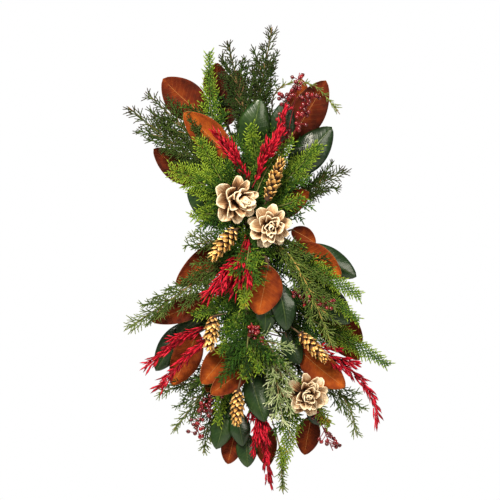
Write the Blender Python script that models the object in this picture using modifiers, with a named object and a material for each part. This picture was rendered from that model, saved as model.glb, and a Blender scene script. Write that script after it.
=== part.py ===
"""Magnolia swag: mixed foliage wired in one long bundle to a wooden lath, hung on a door by a wire bail.

Metres, +Z up. The door is the plane y = 0 and the swag stands out towards -Y. The origin is where the nail
in the door meets the inner top of the bail. Places are planned in millimetres as (u, v) on the door, u to
the right and v up from the waist, where the foliage above meets the foliage below. Depth is how far in front
of the door a piece lies.
"""

import math
import random
from collections import namedtuple

import bmesh
import bpy
from mathutils import Matrix, Vector

MM = 0.001
WAIST = -131.0
GAP = 0.3

LATH_HALF = 13.0
LATH_THICK = 6.0
LATH_TOP = 115.0
LATH_FOOT = -306.0

BUNDLE_HALF = 13.0
BUNDLE_BACK = LATH_THICK + GAP
LAYER_STEP = 8.0
LAYER_TOPS = (112.0, 108.0, 102.0, 94.0, 82.0, 66.0)
LAYER_FEET = (-300.0, -292.0, -278.0, -256.0, -230.0, -200.0)

SPREAD_BACK = 0.02
SPREAD_LAYER = 0.05
DROOP_LAYER = 0.00008
ROOT_RUN = 6.0

BLADE_THICK = 0.9
WELD = 0.00001

TO_ROOM = Vector((0, -1, 0))

Leaf = namedtuple("Leaf", "base tip width face layer rise roll", defaults=(0.0, 0.0, 0.0))
GLOSS = 1
FELT = -1


def clear_scene():
    for obj in list(bpy.data.objects):
        bpy.data.objects.remove(obj, do_unlink=True)


def new_collection(name):
    collection = bpy.data.collections.new(name)
    bpy.context.scene.collection.children.link(collection)
    return collection


def finish_of(name, colour, roughness, metallic=0.0):
    material = bpy.data.materials.new(name)
    material.use_nodes = True
    shader = material.node_tree.nodes["Principled BSDF"]
    shader.inputs["Base Color"].default_value = (*colour, 1)
    shader.inputs["Roughness"].default_value = roughness
    shader.inputs["Metallic"].default_value = metallic
    return material


def spot(u, v, depth):
    """The point in the room at (u, v) on the door and this depth in front of it."""
    return Vector((u, -depth, WAIST + v)) * MM


def layer_depth(layer, u, v):
    """Depth of a layer of stems, which spread from each other as they leave the bundle."""
    out = math.hypot(max(0.0, abs(u) - BUNDLE_HALF), max(0.0, v - LAYER_TOPS[0], LAYER_FEET[0] - v))
    spread = out * (SPREAD_BACK + SPREAD_LAYER * layer) - DROOP_LAYER * layer * out * out
    return BUNDLE_BACK + LAYER_STEP * (layer + 0.5) + spread


def in_layer(layer, point, rise=0.0):
    u, v = point
    return spot(u, v, layer_depth(layer, u, v) + rise)


def on_left(v, layer):
    """The two ends of the short straight run in which a stem leaves the bundle's left side."""
    depth = layer_depth(layer, 0, v)
    side = -BUNDLE_HALF - GAP
    return [spot(side, v, depth), spot(side - ROOT_RUN, v, depth)]


def on_right(v, layer):
    depth = layer_depth(layer, 0, v)
    side = BUNDLE_HALF + GAP
    return [spot(side, v, depth), spot(side + ROOT_RUN, v, depth)]


def bundle_front(v):
    """Depth of the bundle's front face, which its shorter front layers reach only in the middle."""
    layers = sum(foot < v < top for foot, top in zip(LAYER_FEET, LAYER_TOPS))
    return BUNDLE_BACK + LAYER_STEP * layers


def on_front(u, v):
    """The run of a stem stuck into the bundle's front."""
    depth = bundle_front(v) + GAP
    return [spot(u, v, depth), spot(u, v, depth + ROOT_RUN)]


def on_top(u, layer):
    v = LAYER_TOPS[layer] + GAP
    depth = layer_depth(layer, 0, 0)
    return [spot(u, v, depth), spot(u, v + ROOT_RUN, depth)]


def on_foot(u, layer):
    v = LAYER_FEET[layer] - GAP
    depth = layer_depth(layer, 0, 0)
    return [spot(u, v, depth), spot(u, v - ROOT_RUN, depth)]


def smooth(points, per_span):
    """Points on a Catmull-Rom curve through the given ones."""
    ends = [2 * points[0] - points[1], *points, 2 * points[-1] - points[-2]]
    curve = []
    for a, b, c, d in zip(ends, ends[1:], ends[2:], ends[3:]):
        for i in range(per_span):
            t = i / per_span
            turn = 2 * a - 5 * b + 4 * c - d
            curve.append((2 * b + (c - a) * t + turn * t**2 + (3 * b - a - 3 * c + d) * t**3) / 2)
    curve.append(points[-1])
    return curve


def stem_path(root, layer, places, per_span=2):
    """A stem from its straight root through places on the door, at its layer's depth."""
    points = [root[1]] + [in_layer(layer, place) for place in places]
    return [root[0]] + smooth(points, per_span)


def length_of(path):
    return sum((b - a).length for a, b in zip(path, path[1:]))


def along(path, share):
    """The point this share of the way along a path, by its length."""
    left = share * length_of(path)
    for a, b in zip(path, path[1:]):
        run = (b - a).length
        if left <= run:
            return a.lerp(b, left / run)
        left -= run
    return path[-1].copy()


def link_mesh(bm, name="piece"):
    mesh = bpy.data.meshes.new(name)
    bm.to_mesh(mesh)
    bm.free()
    obj = bpy.data.objects.new(name, mesh)
    bpy.context.scene.collection.objects.link(obj)
    return obj


def evaluated_mesh(obj):
    bpy.context.view_layer.update()
    graph = bpy.context.evaluated_depsgraph_get()
    return bpy.data.meshes.new_from_object(obj.evaluated_get(graph))


def weld(mesh):
    """Joins a curve's caps to its tube."""
    bm = bmesh.new()
    bm.from_mesh(mesh)
    bmesh.ops.remove_doubles(bm, verts=bm.verts, dist=WELD)
    bm.to_mesh(mesh)
    bm.free()


def tube(path, thick, thin, resolution=0, name="tube"):
    """A round stem or wire along a path, its radius in millimetres falling from thick to thin."""
    data = bpy.data.curves.new(name, "CURVE")
    data.dimensions = "3D"
    data.bevel_depth = thick * MM
    data.bevel_resolution = resolution
    data.use_fill_caps = True
    line = data.splines.new("POLY")
    line.points.add(len(path) - 1)
    last = len(path) - 1
    for i, (point, place) in enumerate(zip(line.points, path)):
        point.co = (*place, 1)
        point.radius = 1 + (thin / thick - 1) * i / last
    curve = bpy.data.objects.new(name, data)
    bpy.context.scene.collection.objects.link(curve)
    mesh = evaluated_mesh(curve)
    weld(mesh)
    bpy.data.objects.remove(curve)
    obj = bpy.data.objects.new(name, mesh)
    bpy.context.scene.collection.objects.link(obj)
    return obj


def towards(start, end):
    """A matrix that puts local +Z along the line from start to end, at its middle."""
    turn = (end - start).to_track_quat("Z", "Y")
    return Matrix.Translation((start + end) / 2) @ turn.to_matrix().to_4x4()


def rod(start, end, radius, sides=3):
    """A short straight stalk of few sides."""
    bm = bmesh.new()
    bmesh.ops.create_cone(
        bm,
        cap_ends=True,
        segments=sides,
        radius1=radius * MM,
        radius2=radius * MM,
        depth=(end - start).length,
        matrix=towards(start, end),
    )
    return link_mesh(bm, "rod")


def drop_scraps(mesh):
    """Keeps only the largest of a mesh's separate shells."""
    bm = bmesh.new()
    bm.from_mesh(mesh)
    left = set(bm.verts)
    shells = []
    while left:
        shell = set()
        edge_of_shell = [left.pop()]
        while edge_of_shell:
            vert = edge_of_shell.pop()
            shell.add(vert)
            near = {edge.other_vert(vert) for edge in vert.link_edges} & left
            left -= near
            edge_of_shell.extend(near)
        shells.append(shell)
    shells.sort(key=len)
    scraps = [vert for shell in shells[:-1] for vert in shell]
    if scraps:
        bmesh.ops.delete(bm, geom=scraps, context="VERTS")
        bm.to_mesh(mesh)
    bm.free()


def fuse(name, pieces, material, collection):
    """One node from pieces that reach into each other."""
    body = pieces[0]
    if len(pieces) > 1:
        group = new_collection(name + "_pieces")
        for piece in pieces[1:]:
            group.objects.link(piece)
        union = body.modifiers.new("union", "BOOLEAN")
        union.operation = "UNION"
        union.operand_type = "COLLECTION"
        union.collection = group
        union.solver = "MANIFOLD"
    mesh = evaluated_mesh(body)
    drop_scraps(mesh)
    for piece in pieces:
        bpy.data.objects.remove(piece)
    if len(pieces) > 1:
        bpy.data.collections.remove(group)
    mesh.name = name
    mesh.materials.clear()
    mesh.materials.append(material)
    node = bpy.data.objects.new(name, mesh)
    collection.objects.link(node)
    return node


# Foliage grown as sheets

LOOK_AHEAD = 0.03

Edge = namedtuple("Edge", "left right")
Strip = namedtuple("Strip", "left right middle axis side normal share")


def frame_at(axis, lean=0.0):
    """A branch's own axes: along it, to its right and towards the room, turned round it by a lean."""
    axis = axis.normalized()
    side = Matrix.Rotation(math.radians(lean), 3, axis) @ axis.cross(TO_ROOM).normalized()
    return axis, side, side.cross(axis)


def heading(path, share):
    """The way that a path runs at this share of it."""
    return along(path, min(1.0, share + LOOK_AHEAD)) - along(path, max(0.0, share - LOOK_AHEAD))


class Sheet:
    """A branch grown as one open sheet, from edge to edge, and thickened to a solid at the end."""

    def __init__(self):
        self.bm = bmesh.new()
        self.weight = self.bm.verts.layers.deform.verify()

    def root(self, path, half):
        """The stem's first straight run, square to the face that it is rooted on."""
        run = (path[1] - path[0]).normalized()
        into_room = abs(run.dot(TO_ROOM)) > 0.9
        side = (path[2] - path[1] if into_room else run).cross(TO_ROOM).normalized() * half * MM
        ends = [self.bm.verts.new(path[0] + side * hand) for hand in (-1, 1)]
        self.bm.edges.new(ends)
        for vert in ends:
            vert[self.weight][0] = 1
        return self.extend(ends, [path[1] - side, path[1] + side], 1)

    def begin(self, place, side, half, weight):
        """The first row of a piece that starts inside another one."""
        ends = [self.bm.verts.new(place + side * half * MM * hand) for hand in (-1, 1)]
        self.bm.edges.new(ends)
        for vert in ends:
            vert[self.weight][0] = weight
        return ends

    def extend(self, row, places, weight):
        """Extrudes a row of vertices to new places. Gives the new row."""
        edges = [self.bm.edges.get(pair) for pair in zip(row, row[1:])]
        grown = bmesh.ops.extrude_edge_only(self.bm, edges=edges)["geom"]
        fresh = {item for item in grown if isinstance(item, bmesh.types.BMVert)}
        new_row = []
        for old, place in zip(row, places):
            new = next(edge.other_vert(old) for edge in old.link_edges if edge.other_vert(old) in fresh)
            new.co = place
            new[self.weight][0] = weight
            new_row.append(new)
        return new_row

    def close(self, row, place, weight=0.0):
        """Draws a row out to one point."""
        last = self.extend(row, [place] * len(row), weight)
        bmesh.ops.pointmerge(self.bm, verts=last, merge_co=place)

    def split(self, row):
        """Puts a third vertex in the middle of a row of two."""
        edge = self.bm.edges.get(row)
        _, middle = bmesh.utils.edge_split(edge, row[0], 0.5)
        return [row[0], middle, row[1]]

    def strip(self, row, path, shares, halves, weights):
        """A strip along a path, with an edge at each share of it. Gives its end row and its pieces."""
        pieces = []
        before = 0.0
        for share in shares:
            axis, side, normal = frame_at(heading(path, share))
            place = along(path, share)
            half = halves[0] + (halves[1] - halves[0]) * share
            weight = weights[0] + (weights[1] - weights[0]) * share
            new = self.extend(row, [place - side * half * MM, place + side * half * MM], weight)
            middle = (row[0].co + row[1].co + new[0].co + new[1].co) / 4
            left, right = Edge(row[0], new[0]), Edge(new[1], row[1])
            pieces.append(Strip(left, right, middle, axis, side, normal, (before + share) / 2))
            row, before = new, share
        return row, pieces

    def solid(self, name, thick, thin, material):
        """The node: thick where the weight is 1, thin where it is 0."""
        bmesh.ops.triangulate(self.bm, faces=self.bm.faces)
        bmesh.ops.recalc_face_normals(self.bm, faces=self.bm.faces)
        mesh = bpy.data.meshes.new(name)
        self.bm.to_mesh(mesh)
        self.bm.free()
        mesh.materials.append(material)
        node = bpy.data.objects.new(name, mesh)
        SWAG.objects.link(node)
        node.vertex_groups.new(name="thick")
        wall = node.modifiers.new("wall", "SOLIDIFY")
        wall.thickness = thick * MM
        wall.thickness_vertex_group = thin / thick
        wall.vertex_group = "thick"
        wall.offset = 0
        return node


NEAR_STEPS = 40
CLEAR_MORE = 0.01
LAST_FORK = 0.99
FORK_ROOM = 2.2


def share_near(path, place):
    """How far along a path its nearest point to a place is."""
    steps = [i / NEAR_STEPS for i in range(NEAR_STEPS + 1)]
    return min(steps, key=lambda share: (along(path, share) - place).length)


def fork_shares(path, base_shares, forks, half_base, clear=0.0):
    """The shares of a strip's edges, with a short run at each fork for a shoot to grow from."""
    length = length_of(path)
    reach = half_base * MM / length
    first = clear * MM / length + CLEAR_MORE
    shares = {round(min(LAST_FORK, max(first, fork + hand * reach)), 4) for fork in forks for hand in (-1, 1)}
    for share in base_shares:
        if all(abs(share - fork) > FORK_ROOM * reach for fork in forks):
            shares.add(share)
    return sorted(shares)


def forks_near(path, starts, first, back, most=1.0):
    """Shares of a stem at which its side stems leave it, a little before the places that they make for."""
    return [max(first, min(most, share_near(path, start) - back)) for start in starts]


def nearest(pieces, share):
    return min(pieces, key=lambda piece: abs(piece.share - share))


def shoot(pieces, fork, place):
    """The side of the strip at this fork from which a shoot towards a place grows."""
    piece = nearest(pieces, fork)
    on_right_side = (place - piece.middle).dot(piece.side) > 0
    return (piece.right if on_right_side else piece.left), piece


# Magnolia leaves on their twigs

LEAF_ROWS = (0.20, 0.50, 0.80)
LEAF_OUTLINE = (0.70, 1.0, 0.74)
PETIOLE_HALF = 1.4
PETIOLE_GIRTH = 0.55
LEAF_CUP = 0.30
LEAF_ARCH = 0.07
EDGE_WAVE = 0.030
TWIG_THICK = 4.0
TWIG_HALF = (2.0, 1.2)
TWIG_GIRTH = (1.0, 0.55)
TWIG_SHARES = (0.3, 0.65, 1.0)
ROOT_CLEAR = 1.3
BACKSET = 12.0
MIN_FORK = 0.2


def grow_leaf(sheet, row, leaf, base, tip):
    """A cupped and waved blade on its stalk, from a row of two vertices."""
    axis, side, normal = frame_at(tip - base, leaf.roll)
    length = (tip - base).length
    half = leaf.width / 2 * MM
    stalk = [base - side * PETIOLE_HALF * MM, base + side * PETIOLE_HALF * MM]
    row = sheet.split(sheet.extend(row, stalk, PETIOLE_GIRTH))
    for i, (share, outline) in enumerate(zip(LEAF_ROWS, LEAF_OUTLINE)):
        places = []
        for across in (-1, 0, 1):
            out = across * half * outline
            bow = LEAF_ARCH * length * 4 * share * (1 - share) * leaf.face
            cup = leaf.face * LEAF_CUP * abs(out)
            wave = EDGE_WAVE * length * across * (1 if i % 2 else -1)
            places.append(base + axis * length * share + side * out + normal * (bow - cup + wave))
        row = sheet.extend(row, places, 0)
    sheet.close(row, tip)


def magnolia_twig(name, root, layer, places, leaves):
    """A twig whose leaves have their stalks sunk in it."""
    path = stem_path(root, layer, places)
    length = length_of(path)
    twig = Sheet()
    shares = [share for share in TWIG_SHARES if share * length > ROOT_CLEAR * ROOT_RUN * MM]
    twig.strip(twig.root(path, TWIG_HALF[0]), path, shares, TWIG_HALF, TWIG_GIRTH)
    pieces = [twig.solid(name, TWIG_THICK, BLADE_THICK, MAGNOLIA)]
    for leaf in leaves:
        base = in_layer(layer + leaf.layer, leaf.base)
        tip = in_layer(layer + leaf.layer, leaf.tip, leaf.rise)
        start = along(path, max(MIN_FORK, share_near(path, base) - BACKSET * MM / length))
        _, side, _ = frame_at(base - start)
        sheet = Sheet()
        row = sheet.begin(start, side, PETIOLE_HALF, PETIOLE_GIRTH)
        grow_leaf(sheet, row, leaf, base, tip)
        pieces.append(sheet.solid("leaf", TWIG_THICK, BLADE_THICK, MAGNOLIA))
    return fuse(name, pieces, MAGNOLIA, SWAG)


# Flat cedar fronds, the leaflets cut to the rib

CEDAR_STEM_THICK = 3.0
CEDAR_STEM_HALF = (1.6, 0.8)
CEDAR_GIRTH = (1.0, 0.1)
LEAFLET_WAIST = 0.55
LEAFLET_FULL = 0.34
LEAFLET_MOST = 0.2
LEAFLET_DROOP = 0.16
PLAIN_LEAFLET = 12.0
FROND_END = 0.3
FROND_FORK_HALF = 2.0
FROND_FORK_FIRST = 0.08
FROND_FORK_BACK = 0.06
FROND_FORK_APART = 0.07


def frond_swell(share):
    """The reach of a frond's leaflets as a part of its half width, greatest a third of the way up."""
    return 0.45 + 1.9 * share if share < 0.3 else 1.3 - 0.95 * share


def frond_slant(share):
    """How far a frond's leaflets lean away from its rib."""
    return math.radians(58 - 22 * share)


def grow_leaflet(sheet, edge, piece, hand, reach, slant):
    """One leaflet of a frond: widest at its middle, then drawn to a point."""
    axis, side, normal = piece.axis, piece.side, piece.normal
    out = (axis * math.cos(slant) + side * hand * math.sin(slant) - normal * LEAFLET_DROOP).normalized()
    wide = out.cross(normal).normalized()
    wide *= hand_of(wide, edge)
    run = (edge.left.co - edge.right.co).length
    half = min(run * math.sin(slant) * LEAFLET_FULL, reach * LEAFLET_MOST)
    root = (edge.left.co + edge.right.co) / 2
    if reach < PLAIN_LEAFLET * MM:
        sheet.close(list(edge), root + out * reach)
        return
    middle = root + out * reach * LEAFLET_WAIST
    row = sheet.extend(list(edge), [middle - wide * half, middle + wide * half], 0)
    sheet.close(row, root + out * reach)


def hand_of(wide, edge):
    """1 where wide points from the edge's left to its right."""
    return 1 if (edge.right.co - edge.left.co).dot(wide) > 0 else -1


def grow_frond(sheet, row, path, half_width, leaflets, bare, forks=(), clear=0.0):
    """A rib with leaflets both sides, longest a third of the way up. Gives the strip's pieces."""
    stem = fork_shares(path, [bare / 2], forks, FROND_FORK_HALF, clear)
    leafy = [bare + (1 - bare) * i / leaflets for i in range(leaflets + 1)]
    row, pieces = sheet.strip(row, path, stem + leafy, CEDAR_STEM_HALF, CEDAR_GIRTH)
    for piece in pieces[-leaflets:]:
        share = (piece.share - bare) / (1 - bare)
        reach = half_width * MM * frond_swell(share)
        grow_leaflet(sheet, piece.left, piece, -1, reach, frond_slant(share))
        grow_leaflet(sheet, piece.right, piece, 1, reach, frond_slant(share))
    sheet.close(row, path[-1] + pieces[-1].axis * half_width * FROND_END * MM)
    return pieces[:-leaflets]


def cedar_branch(name, root, layer, fronds):
    """Fronds from one root. Each is (places, half width, leaflets a side, bare share, layer)."""
    places, half_width, leaflets, bare, lift = fronds[0]
    path = stem_path(root, layer + lift, places, 3)
    starts = [in_layer(layer + frond[4], frond[0][0]) for frond in fronds[1:]]
    forks = forks_near(path, starts, FROND_FORK_FIRST, FROND_FORK_BACK, bare - FROND_FORK_BACK)
    if len(forks) > 1 and abs(forks[0] - forks[1]) < FROND_FORK_APART:
        forks[1] = forks[0] - FROND_FORK_APART
    sheet = Sheet()
    row = sheet.root(path, CEDAR_STEM_HALF[0])
    stem = grow_frond(sheet, row, path, half_width, leaflets, bare, forks, ROOT_RUN)
    for start, fork, frond in zip(starts, forks, fronds[1:]):
        places, half_width, leaflets, bare, lift = frond
        edge, piece = shoot(stem, fork, start)
        route = smooth([piece.middle] + [in_layer(layer + lift, place) for place in places], 3)
        grow_frond(sheet, list(edge), route, half_width, leaflets, bare)
    return sheet.solid(name, CEDAR_STEM_THICK, BLADE_THICK, CEDAR)


# Juniper sprays, slim twigs with short spurs

JUNIPER_STEM_THICK = 3.4
JUNIPER_THIN = 1.3
JUNIPER_HALF = (1.7, 0.8)
JUNIPER_GIRTH = (1.0, 0.2)
TWIGLET_HALF = 0.85
TWIGLET_BASE = 1.7
SPUR_AT = (0.42, 0.52)
SPUR_FROM = 16.0
SPUR_SPREAD = 0.8
SPUR_REACH = 0.36
TWIGLET_END = 0.2
TWIGLET_MIDDLE = 0.1
ARM_LEAD = 0.14
ARM_END = 0.93
ARM_FORK_FIRST = 0.07
ARM_FORK_BACK = 0.08
ARM_FORK_APART = 0.06
ARM_FORK_CLEAR = 0.05


def grow_twiglet(sheet, edge, piece, hand, reach, slant, lift, spurs):
    """A side twig, with a spur at each side where it is long enough."""
    axis, side, normal = piece.axis, piece.side, piece.normal
    out = (axis * math.cos(slant) + side * hand * math.sin(slant) + normal * lift).normalized()
    wide = out.cross(normal).normalized()
    wide *= hand_of(wide, edge)
    root = (edge.left.co + edge.right.co) / 2
    row = list(edge)
    if not spurs:
        sheet.close(row, root + out * reach, TWIGLET_END)
        return
    sides = []
    for share in SPUR_AT:
        place = root + out * reach * share
        half = wide * TWIGLET_HALF * MM
        new = sheet.extend(row, [place - half, place + half], TWIGLET_MIDDLE)
        sides = [(Edge(row[0], new[0]), -1), (Edge(new[1], row[1]), 1)]
        row = new
    sheet.close(row, root + out * reach)
    for spur, spur_hand in sides:
        away = (out + wide * spur_hand * SPUR_SPREAD).normalized()
        base = (spur.left.co + spur.right.co) / 2
        sheet.close(list(spur), base + away * reach * SPUR_REACH)


def grow_arm(sheet, row, path, reach, pairs, rng, forks=(), lead=ARM_LEAD, clear=0.0):
    """A stem with pairs of side twigs, longest near its root. Gives the pieces that forks can grow from."""
    marks = [lead + (ARM_END - lead) * (i + rng.uniform(0.3, 0.7)) / pairs for i in range(pairs)]
    shares = fork_shares(path, [], [*forks, *marks], TWIGLET_BASE, clear)
    row, pieces = sheet.strip(row, path, shares, JUNIPER_HALF, JUNIPER_GIRTH)
    for i, mark in enumerate(marks):
        piece = nearest(pieces, mark)
        size = reach * MM * (1.05 - 0.5 * mark)
        for hand, edge in ((-1, piece.left), (1, piece.right)):
            slant = math.radians(rng.uniform(34, 50))
            length = size * rng.uniform(0.75, 1.15)
            spurs = (i + (hand > 0)) % 2 and length > SPUR_FROM * MM
            grow_twiglet(sheet, edge, piece, hand, length, slant, rng.uniform(-0.1, 0.16), spurs)
    sheet.close(row, along(path, 1.0))
    return pieces


def juniper_spray(name, root, layer, arms):
    """Arms from one root. Each is (places, reach of its side twigs, pairs of them, layer)."""
    rng = random.Random(name)
    places, reach, pairs, lift = arms[0]
    path = stem_path(root, layer + lift, places, 2)
    starts = [in_layer(layer + arm[3], arm[0][0]) for arm in arms[1:]]
    forks = []
    for fork in forks_near(path, starts, ARM_FORK_FIRST, ARM_FORK_BACK):
        while any(abs(fork - other) < ARM_FORK_APART for other in forks):
            fork += ARM_FORK_APART
        forks.append(fork)
    lead = max([2 * ARM_FORK_CLEAR, *forks]) + ARM_FORK_CLEAR
    sheet = Sheet()
    row = sheet.root(path, JUNIPER_HALF[0])
    pieces = grow_arm(sheet, row, path, reach, pairs, rng, forks, lead, ROOT_RUN)
    for start, fork, (places, reach, pairs, lift) in zip(starts, forks, arms[1:]):
        edge, piece = shoot(pieces, fork, start)
        route = smooth([piece.middle] + [in_layer(layer + lift, place) for place in places], 2)
        grow_arm(sheet, list(edge), route, reach, pairs, rng)
    return sheet.solid(name, JUNIPER_STEM_THICK, JUNIPER_THIN, JUNIPER)


# Red grass, thin stems with flat pointed spikelets

SPIKELET_LONG = 17.0
SPIKELET_HALF = 2.3
GRASS_THICK = 2.4
GRASS_HALF = (1.2, 0.7)
GRASS_GIRTH = (1.0, 0.3)
GRASS_END = 0.95
GRASS_FORK_HALF = 1.5
GRASS_FORK_FIRST = 0.08
GRASS_FORK_BACK = 0.05
GRASS_STEM_EDGE = 0.2
SPIKELET_FULL = 0.45
SPIKELET_LAST = 0.5


def grow_spikelet(sheet, edge, piece, hand, rng):
    """One flat spikelet, widest before its middle and pointed."""
    slant = math.radians(rng.uniform(27, 34))
    lift = rng.uniform(0.0, 0.1)
    out = piece.axis * math.cos(slant) + piece.side * hand * math.sin(slant) + piece.normal * lift
    out.normalize()
    wide = out.cross(piece.normal).normalized()
    wide *= hand_of(wide, edge)
    root = (edge.left.co + edge.right.co) / 2
    size = SPIKELET_LONG * MM * rng.uniform(0.8, 1.1)
    middle = root + out * size * SPIKELET_FULL
    half = wide * SPIKELET_HALF * MM
    row = sheet.extend(list(edge), [middle - half, middle + half], 0)
    sheet.close(row, root + out * size)


def grow_grass(sheet, row, path, pairs, begin, rng, forks=(), clear=0.0):
    """A thin stem with pairs of spikelets and one at its end. Gives the pieces that forks can grow from."""
    marks = [begin + (GRASS_END - begin) * i / (pairs - 1) for i in range(pairs)]
    shares = fork_shares(path, [GRASS_STEM_EDGE], [*forks, *marks], GRASS_FORK_HALF, clear)
    row, pieces = sheet.strip(row, path, shares, GRASS_HALF, GRASS_GIRTH)
    for mark in marks:
        piece = nearest(pieces, mark)
        grow_spikelet(sheet, piece.left, piece, -1, rng)
        grow_spikelet(sheet, piece.right, piece, 1, rng)
    sheet.close(row, path[-1] + pieces[-1].axis * SPIKELET_LONG * SPIKELET_LAST * MM)
    return pieces


def red_grass(name, root, layer, arms):
    """Arms from one root. Each is (places, pairs of spikelets, share where they begin, layer)."""
    rng = random.Random(name)
    places, pairs, begin, lift = arms[0]
    path = stem_path(root, layer + lift, places, 2)
    starts = [in_layer(layer + arm[3], arm[0][0]) for arm in arms[1:]]
    forks = forks_near(path, starts, GRASS_FORK_FIRST, GRASS_FORK_BACK, begin - GRASS_FORK_BACK)
    sheet = Sheet()
    row = sheet.root(path, GRASS_HALF[0])
    pieces = grow_grass(sheet, row, path, pairs, begin, rng, forks, ROOT_RUN)
    for start, fork, (places, pairs, begin, lift) in zip(starts, forks, arms[1:]):
        edge, piece = shoot(pieces, fork, start)
        route = smooth([piece.middle] + [in_layer(layer + lift, place) for place in places], 2)
        grow_grass(sheet, list(edge), route, pairs, begin, rng)
    return sheet.solid(name, GRASS_THICK, BLADE_THICK, RED)


# Berries on branched stalks

BERRY_RADIUS = 3.9
STALK = 0.8
BERRY_STEM = (1.5, 1.0)
BERRY_END = 0.96


def berry_spray(name, root, layer, arms):
    """Arms from one root. Each is (places, berries, share where they begin, length of their stalks)."""
    rng = random.Random(name)
    pieces = []
    for places, count, begin, stalk in arms:
        path = stem_path(root, layer, places)
        pieces.append(tube(path, *BERRY_STEM))
        for i in range(count):
            share = begin + (BERRY_END - begin) * i / (count - 1)
            start = along(path, share)
            axis, side, _ = frame_at(heading(path, share))
            side *= 1 if i % 2 else -1
            slant = math.radians(rng.uniform(35, 75))
            out = axis * math.cos(slant) + side * math.sin(slant) + TO_ROOM * rng.uniform(-0.15, 0.35)
            end = start + out.normalized() * stalk * MM * rng.uniform(0.7, 1.25)
            pieces.append(rod(start, end, STALK))
            bm = bmesh.new()
            place = Matrix.Translation(end)
            bmesh.ops.create_icosphere(bm, subdivisions=1, radius=BERRY_RADIUS * MM, matrix=place)
            pieces.append(link_mesh(bm, "berry"))
    return fuse(name, pieces, BERRY, SWAG)


# Bodies with scales in rows: long cones painted gold, and rosettes, which are the opened tops of cones

PICK = 1.6
PICK_SUNK = 8.0


def scaled_body(place, rows, around, corners, form):
    """A closed body of rings: each row of scales has a ring at its roots and one at its lips.

    The form gives a ring corner's (radius, height) from its row, whether it is at the lip, and how far it is
    from the middle of its scale, 0 to 1. Rows are staggered by half a scale.
    """
    rings = 2 * rows
    segments = around * corners
    bm = bmesh.new()
    bmesh.ops.create_uvsphere(bm, u_segments=segments, v_segments=rings + 1, radius=1)
    for vert in bm.verts:
        ring = round(math.acos(max(-1, min(1, -vert.co.z))) / math.pi * (rings + 1))
        if ring in (0, rings + 1):
            row = -1 if ring == 0 else rows
            vert.co = place @ Vector((0, 0, form(row, False, 0)[1] * MM))
            continue
        row, lip = divmod(ring - 1, 2)
        angle = math.atan2(vert.co.y, vert.co.x)
        step = round(angle / (2 * math.pi) * segments) + row * corners // 2
        off = abs((step + corners // 2) % corners - corners // 2) / (corners / 2)
        radius, height = form(row, lip, off)
        vert.co = place @ (Vector((radius * math.cos(angle), radius * math.sin(angle), height)) * MM)
    bmesh.ops.triangulate(bm, faces=bm.faces)
    return link_mesh(bm, "scales")


CONE_ROWS = 6
CONE_AROUND = 5
CONE_LIP = 1.10
CONE_ROOT = 0.74
CONE_NOTCH = 0.3
LIP_RISE = 0.78
ROOT_RISE = 0.12
SCALES_END = 0.965
SCALE_OVERHANG = 0.02


def cone_swell(share):
    """A cone's thickness as a part of its greatest, by how far up it is."""
    return min(1.0, 0.62 + 1.6 * share) * (1 - 0.62 * share**3.2)


def gold_cone(name, root, base, tip, width, opened=0.0):
    """A cone on a wire pick. Its two ends are (u, v, depth)."""
    start, end = spot(*base), spot(*tip)
    axis = (end - start).normalized()
    length = (end - start).length / MM

    def form(row, lip, off):
        share = min(1, max(0, (row + ROOT_RISE + LIP_RISE * lip) / CONE_ROWS))
        spread = CONE_LIP + opened * share - CONE_NOTCH * off if lip else CONE_ROOT
        height = share * SCALES_END + SCALE_OVERHANG * lip * (1 - off)
        return width / 2 * cone_swell(share) * spread, length * height

    place = Matrix.Translation(start) @ axis.to_track_quat("Z", "Y").to_matrix().to_4x4()
    body = scaled_body(place, CONE_ROWS, CONE_AROUND, 2, form)
    pick = tube([*root, start, start + axis * PICK_SUNK * MM], PICK, PICK)
    return fuse(name, [body, pick], GOLD, SWAG)


PETALS_AROUND = 5
PETAL_LIPS = ((36.0, 5.0), (31.0, 11.0), (24.0, 17.0), (16.0, 21.0), (8.0, 22.0))
PETAL_ROOTS = ((9.0, -1.0), (9.0, 3.5), (8.0, 8.0), (6.0, 12.0), (4.0, 15.0))
PETAL_MIDDLE = 0.3
PETAL_EDGE = 0.8
PETAL_SHOULDER = 0.10
PETAL_CLEFT = 0.62
CLEFT_DROP = 0.5
LIP_CURL = 2.0
ROSETTE_BACK = -7.0
ROSETTE_HEART = 19.0
ROSETTE_PICK = (-9.0, 3.0)


def rosette(name, root, centre, facing, size, turn=0.0):
    """Its centre is (u, v, depth), and facing is the way it looks, as (u, v, depth)."""
    middle = spot(*centre)
    look = Vector((facing[0], -facing[2], facing[1])).normalized()
    aim = look.to_track_quat("Z", "Y").to_matrix().to_4x4()
    place = Matrix.Translation(middle) @ aim @ Matrix.Rotation(turn, 4, "Z") @ Matrix.Scale(size, 4)

    def form(row, lip, off):
        if row < 0 or row == len(PETAL_LIPS):
            return 0, ROSETTE_BACK if row < 0 else ROSETTE_HEART
        root_radius, root_height = PETAL_ROOTS[row]
        if not lip:
            return root_radius, root_height
        lip_radius, lip_height = PETAL_LIPS[row]
        shoulder = PETAL_MIDDLE < off < PETAL_EDGE
        notch = 0.0 if off < PETAL_MIDDLE else PETAL_SHOULDER if shoulder else PETAL_CLEFT
        curl = LIP_CURL if shoulder else 0.0
        reach = lip_radius + (root_radius - lip_radius) * notch
        return reach, lip_height + curl + (root_height - lip_height) * notch * CLEFT_DROP

    body = scaled_body(place, len(PETAL_LIPS), PETALS_AROUND, 4, form)
    pick = tube([*root, *(middle + look * height * MM for height in ROSETTE_PICK)], PICK, PICK)
    return fuse(name, [body, pick], CREAM, SWAG)


# The lath, with grooves across its back for the binding wire and a cross-hole for the bail

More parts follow.
